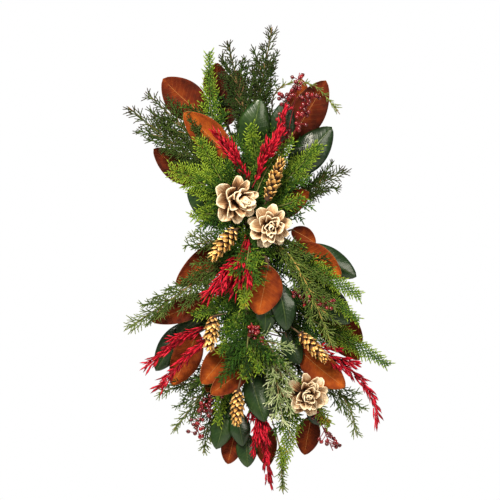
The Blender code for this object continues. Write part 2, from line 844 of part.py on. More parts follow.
WRAPS = (48.0, -28.0, -104.0, -176.0)
WIRE = 0.6
GROOVE_DEEP = 2.3
GROOVE_WIDE = 3.4
BAIL_WIRE = 1.0
BAIL_HOLE_V = 82.0
BAIL_HALF = LATH_HALF + GAP + BAIL_WIRE
BAIL_TURN_IN = 6.0
BAIL_STRAIGHT = 2.0
BAIL_STEPS = 6
LATH_EDGE = 0.8
HOLE_SIDES = 12
CUT_PAST = 5.0
BUNDLE_EDGE = 1.2
LAYER_OVERLAP = 0.8
WIRE_CLEAR = 0.1
WRAP_LEAD = 2.2


def box(name, low, high):
    """A box between two (u, v, depth) corners."""
    bm = bmesh.new()
    bmesh.ops.create_cube(bm, size=1)
    a, b = spot(*low), spot(*high)
    size = Vector((abs(b.x - a.x), abs(b.y - a.y), abs(b.z - a.z)))
    for vert in bm.verts:
        vert.co = (a + b) / 2 + Vector((vert.co.x * size.x, vert.co.y * size.y, vert.co.z * size.z))
    return link_mesh(bm, name)


def bevelled(obj, width):
    bevel = obj.modifiers.new("bevel", "BEVEL")
    bevel.width = width * MM
    bevel.segments = 1
    return obj


def make_lath():
    """The lath, with a groove for each wrap of the wire and a hole for the bail's ends."""
    lath = bevelled(box("lath", (-LATH_HALF, LATH_FOOT, 0), (LATH_HALF, LATH_TOP, LATH_THICK)), LATH_EDGE)
    cutters = new_collection("lath_cutters")
    for v in WRAPS:
        low = (-LATH_HALF - CUT_PAST, v - GROOVE_WIDE / 2, -CUT_PAST)
        high = (LATH_HALF + CUT_PAST, v + GROOVE_WIDE / 2, GROOVE_DEEP)
        cutters.objects.link(box("groove", low, high))
    hole = spot(0, BAIL_HOLE_V, LATH_THICK / 2)
    bm = bmesh.new()
    bmesh.ops.create_cone(
        bm,
        cap_ends=True,
        segments=HOLE_SIDES,
        radius1=(BAIL_WIRE + GAP) * MM,
        radius2=(BAIL_WIRE + GAP) * MM,
        depth=2 * (LATH_HALF + CUT_PAST) * MM,
        matrix=Matrix.Translation(hole) @ Matrix.Rotation(math.pi / 2, 4, "Y"),
    )
    cutters.objects.link(link_mesh(bm, "bail_hole"))
    cut = lath.modifiers.new("cut", "BOOLEAN")
    cut.operation = "DIFFERENCE"
    cut.operand_type = "COLLECTION"
    cut.collection = cutters
    mesh = evaluated_mesh(lath)
    for obj in [lath, *cutters.objects]:
        bpy.data.objects.remove(obj)
    bpy.data.collections.remove(cutters)
    mesh.materials.append(BARE_WOOD)
    SWAG.objects.link(bpy.data.objects.new("lath", mesh))


def make_stem_bundle():
    """The bound stem ends, in flat layers that get shorter towards the front."""
    layers = []
    for i, (top, foot) in enumerate(zip(LAYER_TOPS, LAYER_FEET)):
        near = BUNDLE_BACK + LAYER_STEP * i - (LAYER_OVERLAP if i else 0)
        far = BUNDLE_BACK + LAYER_STEP * (i + 1)
        block = box("stems", (-BUNDLE_HALF, foot, near), (BUNDLE_HALF, top, far))
        layers.append(bevelled(block, BUNDLE_EDGE))
    fuse("stem_bundle", layers, STEM_WOOD, SWAG)


def make_binding_wire():
    """One wire in four wraps round bundle and lath, led from wrap to wrap beside the lath."""
    side = BUNDLE_HALF + GAP + WIRE + WIRE_CLEAR
    back = GROOVE_DEEP - GAP - WIRE
    path = []
    for v in WRAPS:
        front = bundle_front(v) + GAP + WIRE
        path += [spot(side, v + WRAP_LEAD, back), spot(side, v + WRAP_LEAD, front), spot(-side, v, front)]
        path += [spot(-side, v, back), spot(side, v, back)]
    node = tube(path, WIRE, WIRE, 1, "binding_wire")
    bpy.context.scene.collection.objects.unlink(node)
    node.data.materials.append(GREEN_WIRE)
    SWAG.objects.link(node)


def make_bail():
    """A wire loop over the lath's top, its ends bent into the cross-hole."""
    depth = LATH_THICK / 2
    top = -WAIST + BAIL_WIRE
    shoulder = LATH_TOP + BAIL_STRAIGHT
    right = [(BAIL_HALF - BAIL_TURN_IN, BAIL_HOLE_V), (BAIL_HALF, BAIL_HOLE_V), (BAIL_HALF, shoulder)]
    for i in range(1, BAIL_STEPS):
        angle = math.pi / 2 * i / BAIL_STEPS
        right.append((BAIL_HALF * math.cos(angle), shoulder + (top - shoulder) * math.sin(angle)))
    outline = right + [(0, top)] + [(-u, v) for u, v in reversed(right)]
    node = tube([spot(u, v, depth) for u, v in outline], BAIL_WIRE, BAIL_WIRE, 1, "bail")
    bpy.context.scene.collection.objects.unlink(node)
    node.data.materials.append(STEEL_WIRE)
    SWAG.objects.link(node)


clear_scene()
SWAG = new_collection("magnolia_swag")
MAGNOLIA = finish_of("magnolia leaf", (0.33, 0.13, 0.04), 0.6)
CEDAR = finish_of("cedar", (0.16, 0.27, 0.06), 0.6)
JUNIPER = finish_of("juniper", (0.17, 0.22, 0.12), 0.7)
RED = finish_of("red grass", (0.42, 0.01, 0.03), 0.6)
BERRY = finish_of("berry", (0.28, 0.01, 0.02), 0.25)
GOLD = finish_of("gold paint", (0.72, 0.45, 0.16), 0.35, 0.8)
CREAM = finish_of("cream wash", (0.78, 0.66, 0.50), 0.75)
BARE_WOOD = finish_of("lath wood", (0.55, 0.38, 0.22), 0.7)
STEM_WOOD = finish_of("stem wood", (0.22, 0.14, 0.08), 0.8)
GREEN_WIRE = finish_of("green wire", (0.04, 0.14, 0.07), 0.4, 0.3)
STEEL_WIRE = finish_of("steel wire", (0.55, 0.55, 0.54), 0.35, 1.0)


make_lath()
make_stem_bundle()
make_binding_wire()
make_bail()


# Magnolia twigs, from the top down

magnolia_twig("magnolia_twig_top", on_left(108, 0), 0, [(-32, 150), (-56, 196)], [
    Leaf((-30, 206), (-28, 273), 38, FELT, 0.8),
    Leaf((-42, 176), (-42, 240), 34, FELT, 1.7, -4),
    Leaf((-67, 219), (-61, 287), 44, FELT, 0),
])
magnolia_twig("magnolia_twig_upper_left", on_left(92, 2), 1.6, [(-45, 135), (-72, 170)], [
    Leaf((-38, 118), (-119, 196), 52, FELT, 2.4, -8),
    Leaf((-80, 190), (-156, 256), 66, FELT, 0, 6),
])
magnolia_twig("magnolia_twig_left", on_left(4, 2), 2, [(-40, 20), (-78, 56)], [
    Leaf((-36, -26), (-133, -105), 52, FELT, 0.8, 0),
    Leaf((-40, 2), (-112, 61), 50, GLOSS, 0.7, 10),
    Leaf((-89, 74), (-173, 134), 48, FELT, -0.4, -8),
])
magnolia_twig("magnolia_twig_centre_top", on_top(4, 4), 4, [(4, 100), (0, 108)], [
    Leaf((38, 128), (60, 217), 46, GLOSS, -0.5, 6),
    Leaf((-10, 123), (14, 219), 56, GLOSS, 0.4),
])
magnolia_twig("magnolia_twig_upper_right", on_right(100, 1), 1, [(40, 122), (54, 134)], [
    Leaf((70, 166), (88, 259), 45, FELT, -0.8, -4),
    Leaf((62, 144), (130, 254), 62, FELT, 0.2, 2),
])
magnolia_twig("magnolia_twig_right", on_right(62, 2), 2.5, [(38, 70), (58, 80)], [
    Leaf((67, 87), (140, 172), 59, GLOSS, 0, -6),
])
magnolia_twig("magnolia_twig_waist_right", on_right(6, 3), 2.8, [(32, -6), (58, -26)], [
    Leaf((35, 35), (62, 96), 32, GLOSS, 0.6, 6),
    Leaf((28, 14), (100, 58), 46, FELT, -0.7, 4),
    Leaf((70, -8), (112, -32), 30, FELT, -1.0, 0),
    Leaf((86, -39), (184, -91), 48, GLOSS, -1.8, -4),
    Leaf((67, -35), (156, -91), 52, FELT, 0.3, -2),
])
magnolia_twig("magnolia_twig_low_left", on_left(-84, 2), 2, [(-40, -108), (-54, -124)], [
    Leaf((-65, -124), (-175, -168), 42, FELT, 1.0, 8),
    Leaf((-62, -140), (-132, -192), 46, GLOSS, 0, -4),
])
magnolia_twig("magnolia_twig_lower_left", on_left(-112, 1), 1, [(-55, -145), (-88, -170)], [
    Leaf((-109, -172), (-170, -257), 46, GLOSS, -0.7, 2),
    Leaf((-96, -186), (-140, -282), 50, FELT, 0.2, -2),
])
magnolia_twig("magnolia_twig_centre", on_front(6, -44), 7, [(24, -56), (30, -64)], [
    Leaf((24, -92), (22, -190), 50, GLOSS, -0.6, -2),
    Leaf((44, -100), (60, -184), 44, GLOSS, -0.5, -6),
    Leaf((28, -70), (11, -156), 63, FELT, 1.7, -4),
])
magnolia_twig("magnolia_twig_lower_right", on_right(-66, 2), 2, [(56, -84), (92, -100)], [
    Leaf((112, -150), (190, -238), 40, FELT, -1.8, 0),
    Leaf((124, -132), (194, -205), 46, FELT, -1.0, -4),
    Leaf((102, -108), (170, -172), 52, GLOSS, 0.8, 8),
])
magnolia_twig("magnolia_twig_low_right", on_right(-158, 2), 2, [(44, -188), (70, -210)], [
    Leaf((58, -189), (84, -244), 36, GLOSS, 1.0, -4),
    Leaf((84, -219), (163, -284), 52, FELT, 0, 8),
])
magnolia_twig("magnolia_twig_low_centre", on_left(-188, 4), 4, [(-24, -198)], [
    Leaf((-28, -222), (-80, -292), 44, FELT, -0.8, -6),
    Leaf((-32, -208), (-88, -277), 50, FELT, -0.1, 0),
])
magnolia_twig("magnolia_twig_foot_front", on_foot(-2, 4), 4, [(2, -244)], [
    Leaf((22, -256), (38, -340), 40, GLOSS, -0.6, -6),
    Leaf((-6, -250), (-72, -294), 40, FELT, 1.7, 0),
    Leaf((-2, -258), (22, -343), 42, GLOSS, 0.4, 8),
])
magnolia_twig("magnolia_twig_foot", on_foot(-4, 1), 1, [(-18, -325), (-12, -352)], [
    Leaf((-40, -315), (-63, -394), 42, GLOSS, 0.3, 2),
    Leaf((-28, -326), (-16, -388), 36, GLOSS, 1.4, -4),
    Leaf((-30, -366), (-43, -422), 36, FELT, -0.8, 0),
    Leaf((16, -345), (28, -426), 40, FELT, -0.6, 2),
    Leaf((-12, -366), (-8, -426), 36, GLOSS, 0, 4),
])
magnolia_twig("magnolia_twig_foot_right", on_right(-282, 0), 0, [(60, -308), (96, -326)], [
    Leaf((100, -322), (126, -352), 28, GLOSS, 0.6, 2),
    Leaf((105, -338), (93, -406), 42, FELT),
])


# Cedar branches

cedar_branch("cedar_left", on_left(18, 4), 4.6, [
    ([(-50, 48), (-95, 76), (-140, 96)], 32, 7, 0.25, 0),
    ([(-42, 58), (-66, 100), (-92, 148)], 26, 6, 0.3, 0.7),
    ([(-50, 18), (-80, 19), (-104, 15)], 22, 5, 0.3, -0.2),
])
cedar_branch("cedar_top_left", on_left(76, 3), 2.4, [
    ([(-50, 120), (-70, 190), (-75, 300)], 17, 9, 0.42, 0),
])
cedar_branch("cedar_centre_top", on_front(2, 40), 6.2, [
    ([(8, 78), (6, 120), (-2, 172)], 20, 6, 0.35, 0),
    ([(20, 84), (40, 116), (70, 146)], 18, 5, 0.3, 0.6),
])
cedar_branch("cedar_right", on_right(34, 4), 4.4, [
    ([(34, 52), (74, 92), (118, 138)], 25, 8, 0.2, 0),
    ([(42, 32), (66, 38), (88, 48)], 13, 4, 0.4, 0.5),
])
cedar_branch("cedar_waist", on_front(-4, -34), 10, [
    ([(-8, -60), (-12, -95), (-14, -142)], 16, 6, 0.25, 0),
])
cedar_branch("cedar_low_left", on_left(-64, 4), 4.0, [
    ([(-26, -104), (-60, -140), (-102, -157)], 17, 6, 0.3, 0),
])
cedar_branch("cedar_lower_left", on_left(-136, 5), 5.4, [
    ([(-24, -160), (-40, -190), (-56, -222)], 16, 6, 0.2, 0),
])
cedar_branch("cedar_low_centre", on_front(-6, -190), 8.3, [
    ([(-8, -206), (-10, -230), (-16, -264)], 15, 4, 0.4, 0),
    ([(3, -219), (9, -234), (12, -254)], 12, 3, 0.4, 0.8),
])
cedar_branch("cedar_foot_left", on_left(-240, 2), 2.6, [
    ([(-34, -268), (-52, -300), (-60, -348)], 15, 6, 0.3, 0),
])
cedar_branch("cedar_waist_right", on_right(-38, 4), 4.6, [
    ([(60, -50), (110, -80), (186, -124)], 22, 8, 0.3, 0.2),
    ([(60, -68), (120, -114), (184, -166)], 18, 6, 0.4, -0.5),
])
cedar_branch("cedar_foot_right", on_right(-246, 2), 2.0, [
    ([(52, -290), (66, -350), (54, -425)], 16, 7, 0.35, 0),
    ([(60, -276), (100, -300), (134, -350)], 15, 5, 0.45, 0.6),
])
cedar_branch("cedar_lower_right", on_right(-122, 1), 1.8, [
    ([(70, -148), (150, -192), (238, -245)], 22, 8, 0.4, 0),
])


# Juniper sprays

juniper_spray("juniper_left", on_left(66, 2), 2.6, [
    ([(-60, 94), (-130, 136), (-216, 206)], 30, 6, 0),
    ([(-74, 112), (-120, 170), (-186, 232)], 20, 3, 0.3),
])
juniper_spray("juniper_top", on_top(2, 2), 2.8, [
    ([(8, 190), (20, 260), (35, 345)], 28, 6, 0),
    ([(-12, 190), (-26, 250), (-42, 318)], 20, 4, 0.7),
])
juniper_spray("juniper_arch", on_right(84, 2), 2.1, [
    ([(36, 118), (36, 180), (38, 226), (66, 248), (112, 242), (154, 194)], 12, 5, 0),
])
juniper_spray("juniper_right", on_right(20, 1), 1.0, [
    ([(60, 44), (110, 68), (162, 96)], 30, 4, 0),
])
juniper_spray("juniper_low_left", on_left(-48, 4), 3.9, [
    ([(-60, -72), (-130, -122), (-214, -178)], 32, 6, 0),
    ([(-44, -44), (-76, -30), (-108, -16)], 16, 2, 0.1),
])
juniper_spray("juniper_waist_right", on_right(-16, 5), 6.5, [
    ([(62, -50), (100, -114), (140, -214)], 22, 5, 0),
])
juniper_spray("juniper_centre", on_front(8, -192), 6.6, [
    ([(36, -220), (44, -280), (54, -345)], 30, 5, 0),
])
juniper_spray("juniper_foot", on_foot(9, 2), 1.7, [
    ([(34, -340), (50, -400), (53, -467)], 20, 4, 0),
])
juniper_spray("juniper_foot_left", on_left(-214, 1), 0.5, [
    ([(-60, -250), (-110, -278), (-165, -296)], 22, 4, 0),
    ([(-60, -268), (-104, -318), (-138, -360)], 20, 3, 0.5),
    ([(-50, -290), (-76, -346), (-86, -402)], 20, 3, -0.2),
])
juniper_spray("juniper_foot_right", on_right(-216, 1), 0.6, [
    ([(80, -250), (132, -276), (170, -318), (184, -372)], 22, 4, 0),
])


# Red grass

red_grass("red_grass_top", on_front(-4, 56), 7.3, [
    ([(-12, 84), (-34, 118), (-64, 158)], 5, 0.30, 0),
    ([(10, 84), (36, 140), (60, 200)], 5, 0.35, 0.4),
])
red_grass("red_grass_low", on_front(-6, -20), 6.6, [
    ([(-14, -44), (-44, -82), (-78, -122)], 5, 0.30, 0),
    ([(-12, -66), (-24, -90), (-32, -114)], 3, 0.45, 0.9),
])
red_grass("red_grass_left", on_left(-142, 3), 2.9, [
    ([(-60, -170), (-118, -196), (-184, -246)], 4, 0.55, 0),
    ([(-56, -186), (-110, -226), (-162, -284)], 4, 0.55, 0.3),
])
red_grass("red_grass_foot", on_foot(4, 3), 2.8, [
    ([(10, -330), (24, -394), (30, -452)], 5, 0.40, 0),
])
red_grass("red_grass_right", on_right(-188, 1), 1.0, [
    ([(80, -206), (152, -240), (204, -288), (222, -344)], 5, 0.50, 0),
])


# Berry sprays

berry_spray("berries_top", on_right(58, 5), 5.3, [
    ([(44, 120), (54, 180), (58, 226)], 5, 0.5, 12),
    ([(48, 120), (84, 180), (102, 226)], 4, 0.6, 12),
    ([(46, 112), (66, 176), (82, 262)], 2, 0.85, 8),
])
berry_spray("berries_centre", on_front(-3, -166), 7.2, [
    ([(2, -180), (8, -198), (13, -217)], 5, 0.3, 9),
])
berry_spray("berries_right", on_right(-86, 5), 5.4, [
    ([(50, -108), (90, -124), (136, -140)], 5, 0.5, 11),
])
berry_spray("berries_left", on_left(-258, 1), 1.5, [
    ([(-50, -284), (-84, -320), (-98, -366)], 5, 0.4, 12),
])
berry_spray("berries_foot", on_right(-264, 1), 1.6, [
    ([(60, -290), (110, -330), (142, -396)], 5, 0.5, 12),
])


# Cones and rosettes

gold_cone("cone_top", on_right(30, 5), (26, 42, 78), (53, 119, 84), 25)
gold_cone("cone_waist", on_left(-4, 5), (-28, -8, 82), (-72, -60, 84), 29, 0.3)
gold_cone("cone_left", on_left(-150, 4), (-66, -158, 66), (-75, -219, 70), 27)
gold_cone("cone_foot", [*on_front(-6, -222), spot(-14, -246, 66)], (-24, -285, 77), (-27, -350, 78), 26)
gold_cone("cone_right", on_right(-140, 4), (82, -188, 66), (133, -238, 70), 26)

rosette("rosette_left", on_front(-8, 34), (-28, 44, 78), (0.62, -0.15, 1), 1.16)
rosette("rosette_centre", on_front(9, -10), (31, -3, 80), (0.05, -0.1, 1), 1.03, 0.4)
rosette("rosette_foot", on_right(-210, 3), (95, -295, 60), (0.1, -0.1, 1), 1.05, 0.8)
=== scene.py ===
"""Magnolia swag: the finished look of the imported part.

Metres, +Z up. The swag hangs on the plane y = 0 and stands out towards -Y. Places are planned as (u, v) in
millimetres on the door, u to the right and v up from the swag's waist, and each piece stays where its CAD
node is.
"""

import random
from collections import namedtuple
from functools import partial
from math import cos, hypot, pi, radians, sin, tau

import bpy
import numpy as np
from mathutils import Matrix, Vector


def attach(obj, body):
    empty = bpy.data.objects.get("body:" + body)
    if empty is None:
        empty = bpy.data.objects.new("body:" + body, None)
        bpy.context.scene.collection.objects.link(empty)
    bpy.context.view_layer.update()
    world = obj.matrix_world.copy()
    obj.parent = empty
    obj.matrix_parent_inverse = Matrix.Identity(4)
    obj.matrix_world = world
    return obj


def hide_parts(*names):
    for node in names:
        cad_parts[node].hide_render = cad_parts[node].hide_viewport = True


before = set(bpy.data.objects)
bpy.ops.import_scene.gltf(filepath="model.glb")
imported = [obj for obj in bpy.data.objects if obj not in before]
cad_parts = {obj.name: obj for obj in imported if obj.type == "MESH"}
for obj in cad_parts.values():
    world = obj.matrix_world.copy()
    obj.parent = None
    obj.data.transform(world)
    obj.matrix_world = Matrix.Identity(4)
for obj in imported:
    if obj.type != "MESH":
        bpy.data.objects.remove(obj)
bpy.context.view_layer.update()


# The lath: a strip of sawn softwood that keeps the long bundle straight. Its back lies flat on the door, with
# four grooves sawn across it for the binding wire. The CAD node keeps its shape and gets bare wood with grain
# along it.


class Shade:
    """A socket in a finish. Arithmetic on it adds Math nodes."""

    def __init__(self, finish, socket):
        self.finish = finish
        self.socket = socket

    def maths(self, operation, first, second=0.0):
        return self.finish.node("Math", {0: first, 1: second}, operation=operation)

    def __add__(self, other):
        return self.maths("ADD", self, other)

    def __sub__(self, other):
        return self.maths("SUBTRACT", self, other)

    def __rsub__(self, other):
        return self.maths("SUBTRACT", other, self)

    def __mul__(self, other):
        return self.maths("MULTIPLY", self, other)

    __radd__ = __add__

    def size(self):
        return self.maths("ABSOLUTE", self)

    def held(self):
        """The value kept between 0 and 1."""
        return self.maths("MINIMUM", self.maths("MAXIMUM", self, 0.0), 1.0)


class Finish:
    """A material whose nodes are added one at a time."""

    def __init__(self, name, sockets=None):
        self.material = bpy.data.materials.new(name)
        self.material.use_nodes = True
        self.tree = self.material.node_tree
        self.shader = self.tree.nodes["Principled BSDF"]
        for socket, value in (sockets or {}).items():
            self.shader.inputs[socket].default_value = value

    def node(self, kind, values, output=0, **settings):
        """Adds a node: its settings first, then the values or links of its sockets."""
        made = self.tree.nodes.new("ShaderNode" + kind)
        for setting, value in settings.items():
            setattr(made, setting, value)
        for socket, value in values.items():
            if isinstance(value, Shade):
                self.tree.links.new(value.socket, made.inputs[socket])
            else:
                made.inputs[socket].default_value = value
        return Shade(self, made.outputs[output])

    def place(self):
        return self.node("TexCoord", {}, "Object")

    def grain(self, scale, detail=3.0, place=None):
        """Noise, in the object's own place unless another is given."""
        return self.node("TexNoise", {"Vector": place or self.place(), "Scale": scale, "Detail": detail})

    def fibres(self, scales, detail):
        """Noise drawn out along one axis, with a scale for each."""
        drawn = self.node("VectorMath", {0: self.place(), 1: scales}, operation="MULTIPLY")
        return self.grain(1.0, detail, drawn)

    def attribute(self, name):
        return self.node("Attribute", {}, "Fac", attribute_name=name)

    def ramp(self, factor, *stops):
        made = self.node("ValToRGB", {0: factor})
        ends = made.socket.node.color_ramp.elements
        while len(ends) < len(stops):
            ends.new(0.5)
        for end, (place, colour) in zip(ends, stops):
            end.position = place
            end.color = (*colour, 1)
        return made

    def mix(self, factor, first, second):
        """A colour between two, each a socket or a plain colour."""
        first, second = (end if isinstance(end, Shade) else (*end, 1) for end in (first, second))
        return self.node("Mix", {0: factor, 6: first, 7: second}, 2, data_type="RGBA")

    def feed(self, socket, value):
        self.tree.links.new(value.socket, self.shader.inputs[socket])

    def done(self, colour, roughness, height=None, metres=0.0):
        """Feeds the surface and gives the material. Its relief is a height, so many metres deep."""
        self.feed("Base Color", colour)
        self.feed("Roughness", roughness)
        if height:
            self.feed("Normal", self.node("Bump", {"Distance": metres, "Height": height}))
        return self.material


def dressed(piece, *nodes, slot):
    """Ties a finished piece to the swag and to the CAD nodes it stands for."""
    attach(piece, "root")
    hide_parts(*nodes)


def refinished(node, material):
    """Gives its real material to a CAD node that keeps its shape."""
    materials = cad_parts[node].data.materials
    materials.clear()
    materials.append(material)


def sawn_wood(name, pale, dark):
    wood = Finish(name)
    rings = wood.fibres((170, 170, 9), 4.0)
    fibres = wood.fibres((1300, 1300, 40), 2.0)
    tone = (rings * 1.7 - 0.35 + fibres * 0.3 - 0.15).held()
    return wood.done(wood.mix(tone, pale, dark), 0.62 + fibres * 0.25, fibres, 0.0003)


refinished("lath", sawn_wood("lath_wood", (0.62, 0.44, 0.25), (0.36, 0.21, 0.10)))


# The bound stems: the ends of all the sprays, gathered against the lath in layers that get shorter towards
# the front. They are round brown stems, and everything else on the swag is rooted in them.

MM = 0.001
WAIST = -131.0
LATH_THICK = 6.0
GAP = 0.3
BUNDLE_HALF = 13.0
BUNDLE_BACK = LATH_THICK + GAP
LAYER_STEP = 8.0
LAYER_TOPS = (112.0, 108.0, 102.0, 94.0, 82.0, 66.0)
LAYER_FEET = (-300.0, -292.0, -278.0, -256.0, -230.0, -200.0)
SPREAD_BACK = 0.02
SPREAD_LAYER = 0.05
DROOP_LAYER = 0.00008
ROOT_RUN = 6.0
TO_ROOM = Vector((0, -1, 0))

STEMS_ACROSS = (-8.7, 0.0, 8.7)
STEM_RADIUS = 4.15
STEM_ENDS = 14.0
STEM_KNOTS = 10
STEM_WANDER = 0.35


def spot(u, v, depth):
    """The point in the room at (u, v) on the door and this depth in front of it."""
    return Vector((u, -depth, WAIST + v)) * MM


def smooth(points, per_span):
    """Points on a Catmull-Rom curve through the given ones."""
    ends = [2 * points[0] - points[1], *points, 2 * points[-1] - points[-2]]
    curve = []
    for a, b, c, d in zip(ends, ends[1:], ends[2:], ends[3:]):
        for i in range(per_span):
            t = i / per_span
            turn = 2 * a - 5 * b + 4 * c - d
            curve.append((2 * b + (c - a) * t + turn * t**2 + (3 * b - a - 3 * c + d) * t**3) / 2)
    curve.append(points[-1])
    return curve


def only(*pieces):
    """Selects these objects alone, the first one active."""
    bpy.ops.object.select_all(action="DESELECT")
    for piece in pieces:
        piece.select_set(True)
    bpy.context.view_layer.objects.active = pieces[0]


def placed(name, data):
    """A new object in the scene."""
    made = bpy.data.objects.new(name, data)
    bpy.context.scene.collection.objects.link(made)
    return made


def stems(name, material, runs, sides=6):
    """Round stems as one mesh. Each run is (points, radius at its root, radius at its end), radii in mm."""
    data = bpy.data.curves.new(name, "CURVE")
    data.dimensions = "3D"
    data.bevel_depth = 1.0
    data.bevel_resolution = max(0, (sides - 4) // 2)
    data.use_fill_caps = True
    for points, thick, thin in runs:
        thick, thin = thick * MM, thin * MM
        line = data.splines.new("POLY")
        line.points.add(len(points) - 1)
        for i, (knot, point) in enumerate(zip(line.points, points)):
            knot.co = (*point, 1)
            knot.radius = thick + (thin - thick) * i / (len(points) - 1)
    only(placed(name, data))
    bpy.ops.object.convert(target="MESH")
    bpy.ops.object.shade_smooth()
    bpy.context.object.data.materials.append(material)
    return bpy.context.object


def bark(name, pale, dark):
    """Rough young bark, paler where it has cracked along the stem."""
    skin = Finish(name)
    cracks = skin.fibres((900, 900, 160), 4.0)
    patches = skin.grain(60.0, 2.0)
    tone = (cracks * 1.8 - 0.5 + patches * 0.5 - 0.25).held()
    return skin.done(skin.mix(tone, dark, pale), 0.7 + cracks * 0.2, cracks, 0.0006)


rng = random.Random("stems")
bundle = []
for layer, (top, foot) in enumerate(zip(LAYER_TOPS, LAYER_FEET)):
    depth = BUNDLE_BACK + LAYER_STEP * (layer + 0.5)
    for across in STEMS_ACROSS:
        top_end = top - rng.uniform(0, STEM_ENDS)
        low_end = foot + rng.uniform(0, STEM_ENDS)
        route = []
        for i in range(STEM_KNOTS):
            u = across + rng.uniform(-STEM_WANDER, STEM_WANDER)
            v = low_end + (top_end - low_end) * i / (STEM_KNOTS - 1)
            route.append(spot(u, v, depth + rng.uniform(-0.3, 0.3)))
        bundle.append((smooth(route, 2), STEM_RADIUS, STEM_RADIUS * rng.uniform(0.82, 0.97)))
STEM_BARK = bark("stem_bark", (0.30, 0.20, 0.12), (0.10, 0.055, 0.03))
dressed(stems("bound_stems", STEM_BARK, bundle, 10), "stem_bundle", slot="stem_wood")


# The wires: green enamelled florist's wire wound four times round bundle and lath, and a plain steel bail,
# bent into a loop over the lath's top with its ends in the lath's cross-hole. Both keep their CAD shape.


def wire(name, colour, metallic, roughness):
    drawn = Finish(name, {"Metallic": metallic})
    scuffs = drawn.grain(900.0)
    return drawn.done(drawn.mix(scuffs, colour, [c * 0.6 for c in colour]), roughness + scuffs * 0.2)


refinished("binding_wire", wire("green_enamel", (0.03, 0.13, 0.06), 0.2, 0.3))
refinished("bail", wire("drawn_steel", (0.60, 0.60, 0.58), 1.0, 0.25))


# The magnolia twigs: brown twigs with large leathery leaves, glossy dark green above and rust-brown felt
# beneath, with a thin pale edge and a raised midrib. Some show the felt, some the gloss, and all curl towards
# their felt side.

Leaf = namedtuple("Leaf", "base tip width face layer rise tint", defaults=(0.0, 0.0, None))
GLOSS = 1
FELT = -1
BLADE_ACROSS = 12
BLADE_ALONG = 26
BLADE_THICK = 0.45
LEAF_CUP = 0.30
LEAF_ARCH = 0.07
LEAF_WIDEST = 0.93
LEAF_FULLNESS = 0.66
LEAF_WAVES = 13
LEAF_FOOT = 1.2
EDGE_ROLL = 8
EDGE_ROLL_FROM = 0.8
RIB_PLACES = (0.0, 0.12, 0.3, 0.5, 0.7, 0.88)
RIB_STOUT = (0.75, 0.28)
RIB_SUNK = (0.35, 0.2)
TWIG_RADII = (2.3, 1.5)
STALK_RADII = (1.7, 1.35)
STALK_KNOTS = 10
BACKSET = 12.0
MIN_FORK = 0.2
PATH_KNOTS = 4


def layer_depth(layer, u, v):
    """Depth of a layer of stems, which spread from each other as they leave the bundle."""
    out = hypot(max(0.0, abs(u) - BUNDLE_HALF), max(0.0, v - LAYER_TOPS[0], LAYER_FEET[0] - v))
    spread = out * (SPREAD_BACK + SPREAD_LAYER * layer) - DROOP_LAYER * layer * out * out
    return BUNDLE_BACK + LAYER_STEP * (layer + 0.5) + spread


def in_layer(layer, point, rise=0.0):
    u, v = point
    return spot(u, v, layer_depth(layer, u, v) + rise)


def on_side(hand, v, layer):
    """The two ends of the straight run in which a stem leaves the bundle's left (-1) or right (1) side."""
    depth = layer_depth(layer, 0, v)
    side = hand * (BUNDLE_HALF + GAP)
    return [spot(side, v, depth), spot(side + hand * ROOT_RUN, v, depth)]


def on_end(hand, u, layer):
    """The same at the bundle's foot (-1) or top (1)."""
    depth = layer_depth(layer, 0, 0)
    v = (LAYER_TOPS if hand > 0 else LAYER_FEET)[layer] + hand * GAP
    return [spot(u, v, depth), spot(u, v + hand * ROOT_RUN, depth)]


def on_front(u, v):
    """The run of a stem stuck into the bundle's front, where its front layer is."""
    layers = sum(foot < v < top for foot, top in zip(LAYER_FEET, LAYER_TOPS))
    depth = BUNDLE_BACK + LAYER_STEP * layers + GAP
    return [spot(u, v, depth), spot(u, v, depth + ROOT_RUN)]


on_left, on_right = partial(on_side, -1), partial(on_side, 1)
on_foot, on_top = partial(on_end, -1), partial(on_end, 1)


def stem_path(root, layer, places):
    """A stem from its straight root through places on the door, sunk a little into the bundle."""
    points = [root[1]] + [in_layer(layer, place) for place in places]
    return [root[0] + (root[0] - root[1]) * 0.6] + smooth(points, PATH_KNOTS)


def length_of(path):
    return sum((b - a).length for a, b in zip(path, path[1:]))


def along(path, share):
    """The point this share of the way along a path, by its length."""
    left = share * length_of(path)
    for a, b in zip(path, path[1:]):
        run = (b - a).length
        if left <= run:
            return a.lerp(b, left / run)
        left -= run
    return path[-1].copy()


def share_near(path, place):
    steps = [i / 40 for i in range(41)]
    return min(steps, key=lambda share: (along(path, share) - place).length)


def frame_at(axis):
    """Axes along a branch, to its right and towards the room."""
    axis = axis.normalized()
    side = axis.cross(TO_ROOM).normalized()
    return axis, side, side.cross(axis)


def label(mesh, name, values):
    """Stores a number at each point of a mesh, for its material to read."""
    mesh.attributes.new(name, "FLOAT", "POINT").data.foreach_set("value", values)


def joined(name, *parts):
    only(*parts)
    bpy.ops.object.join()
    bpy.context.object.name = name
    return bpy.context.object


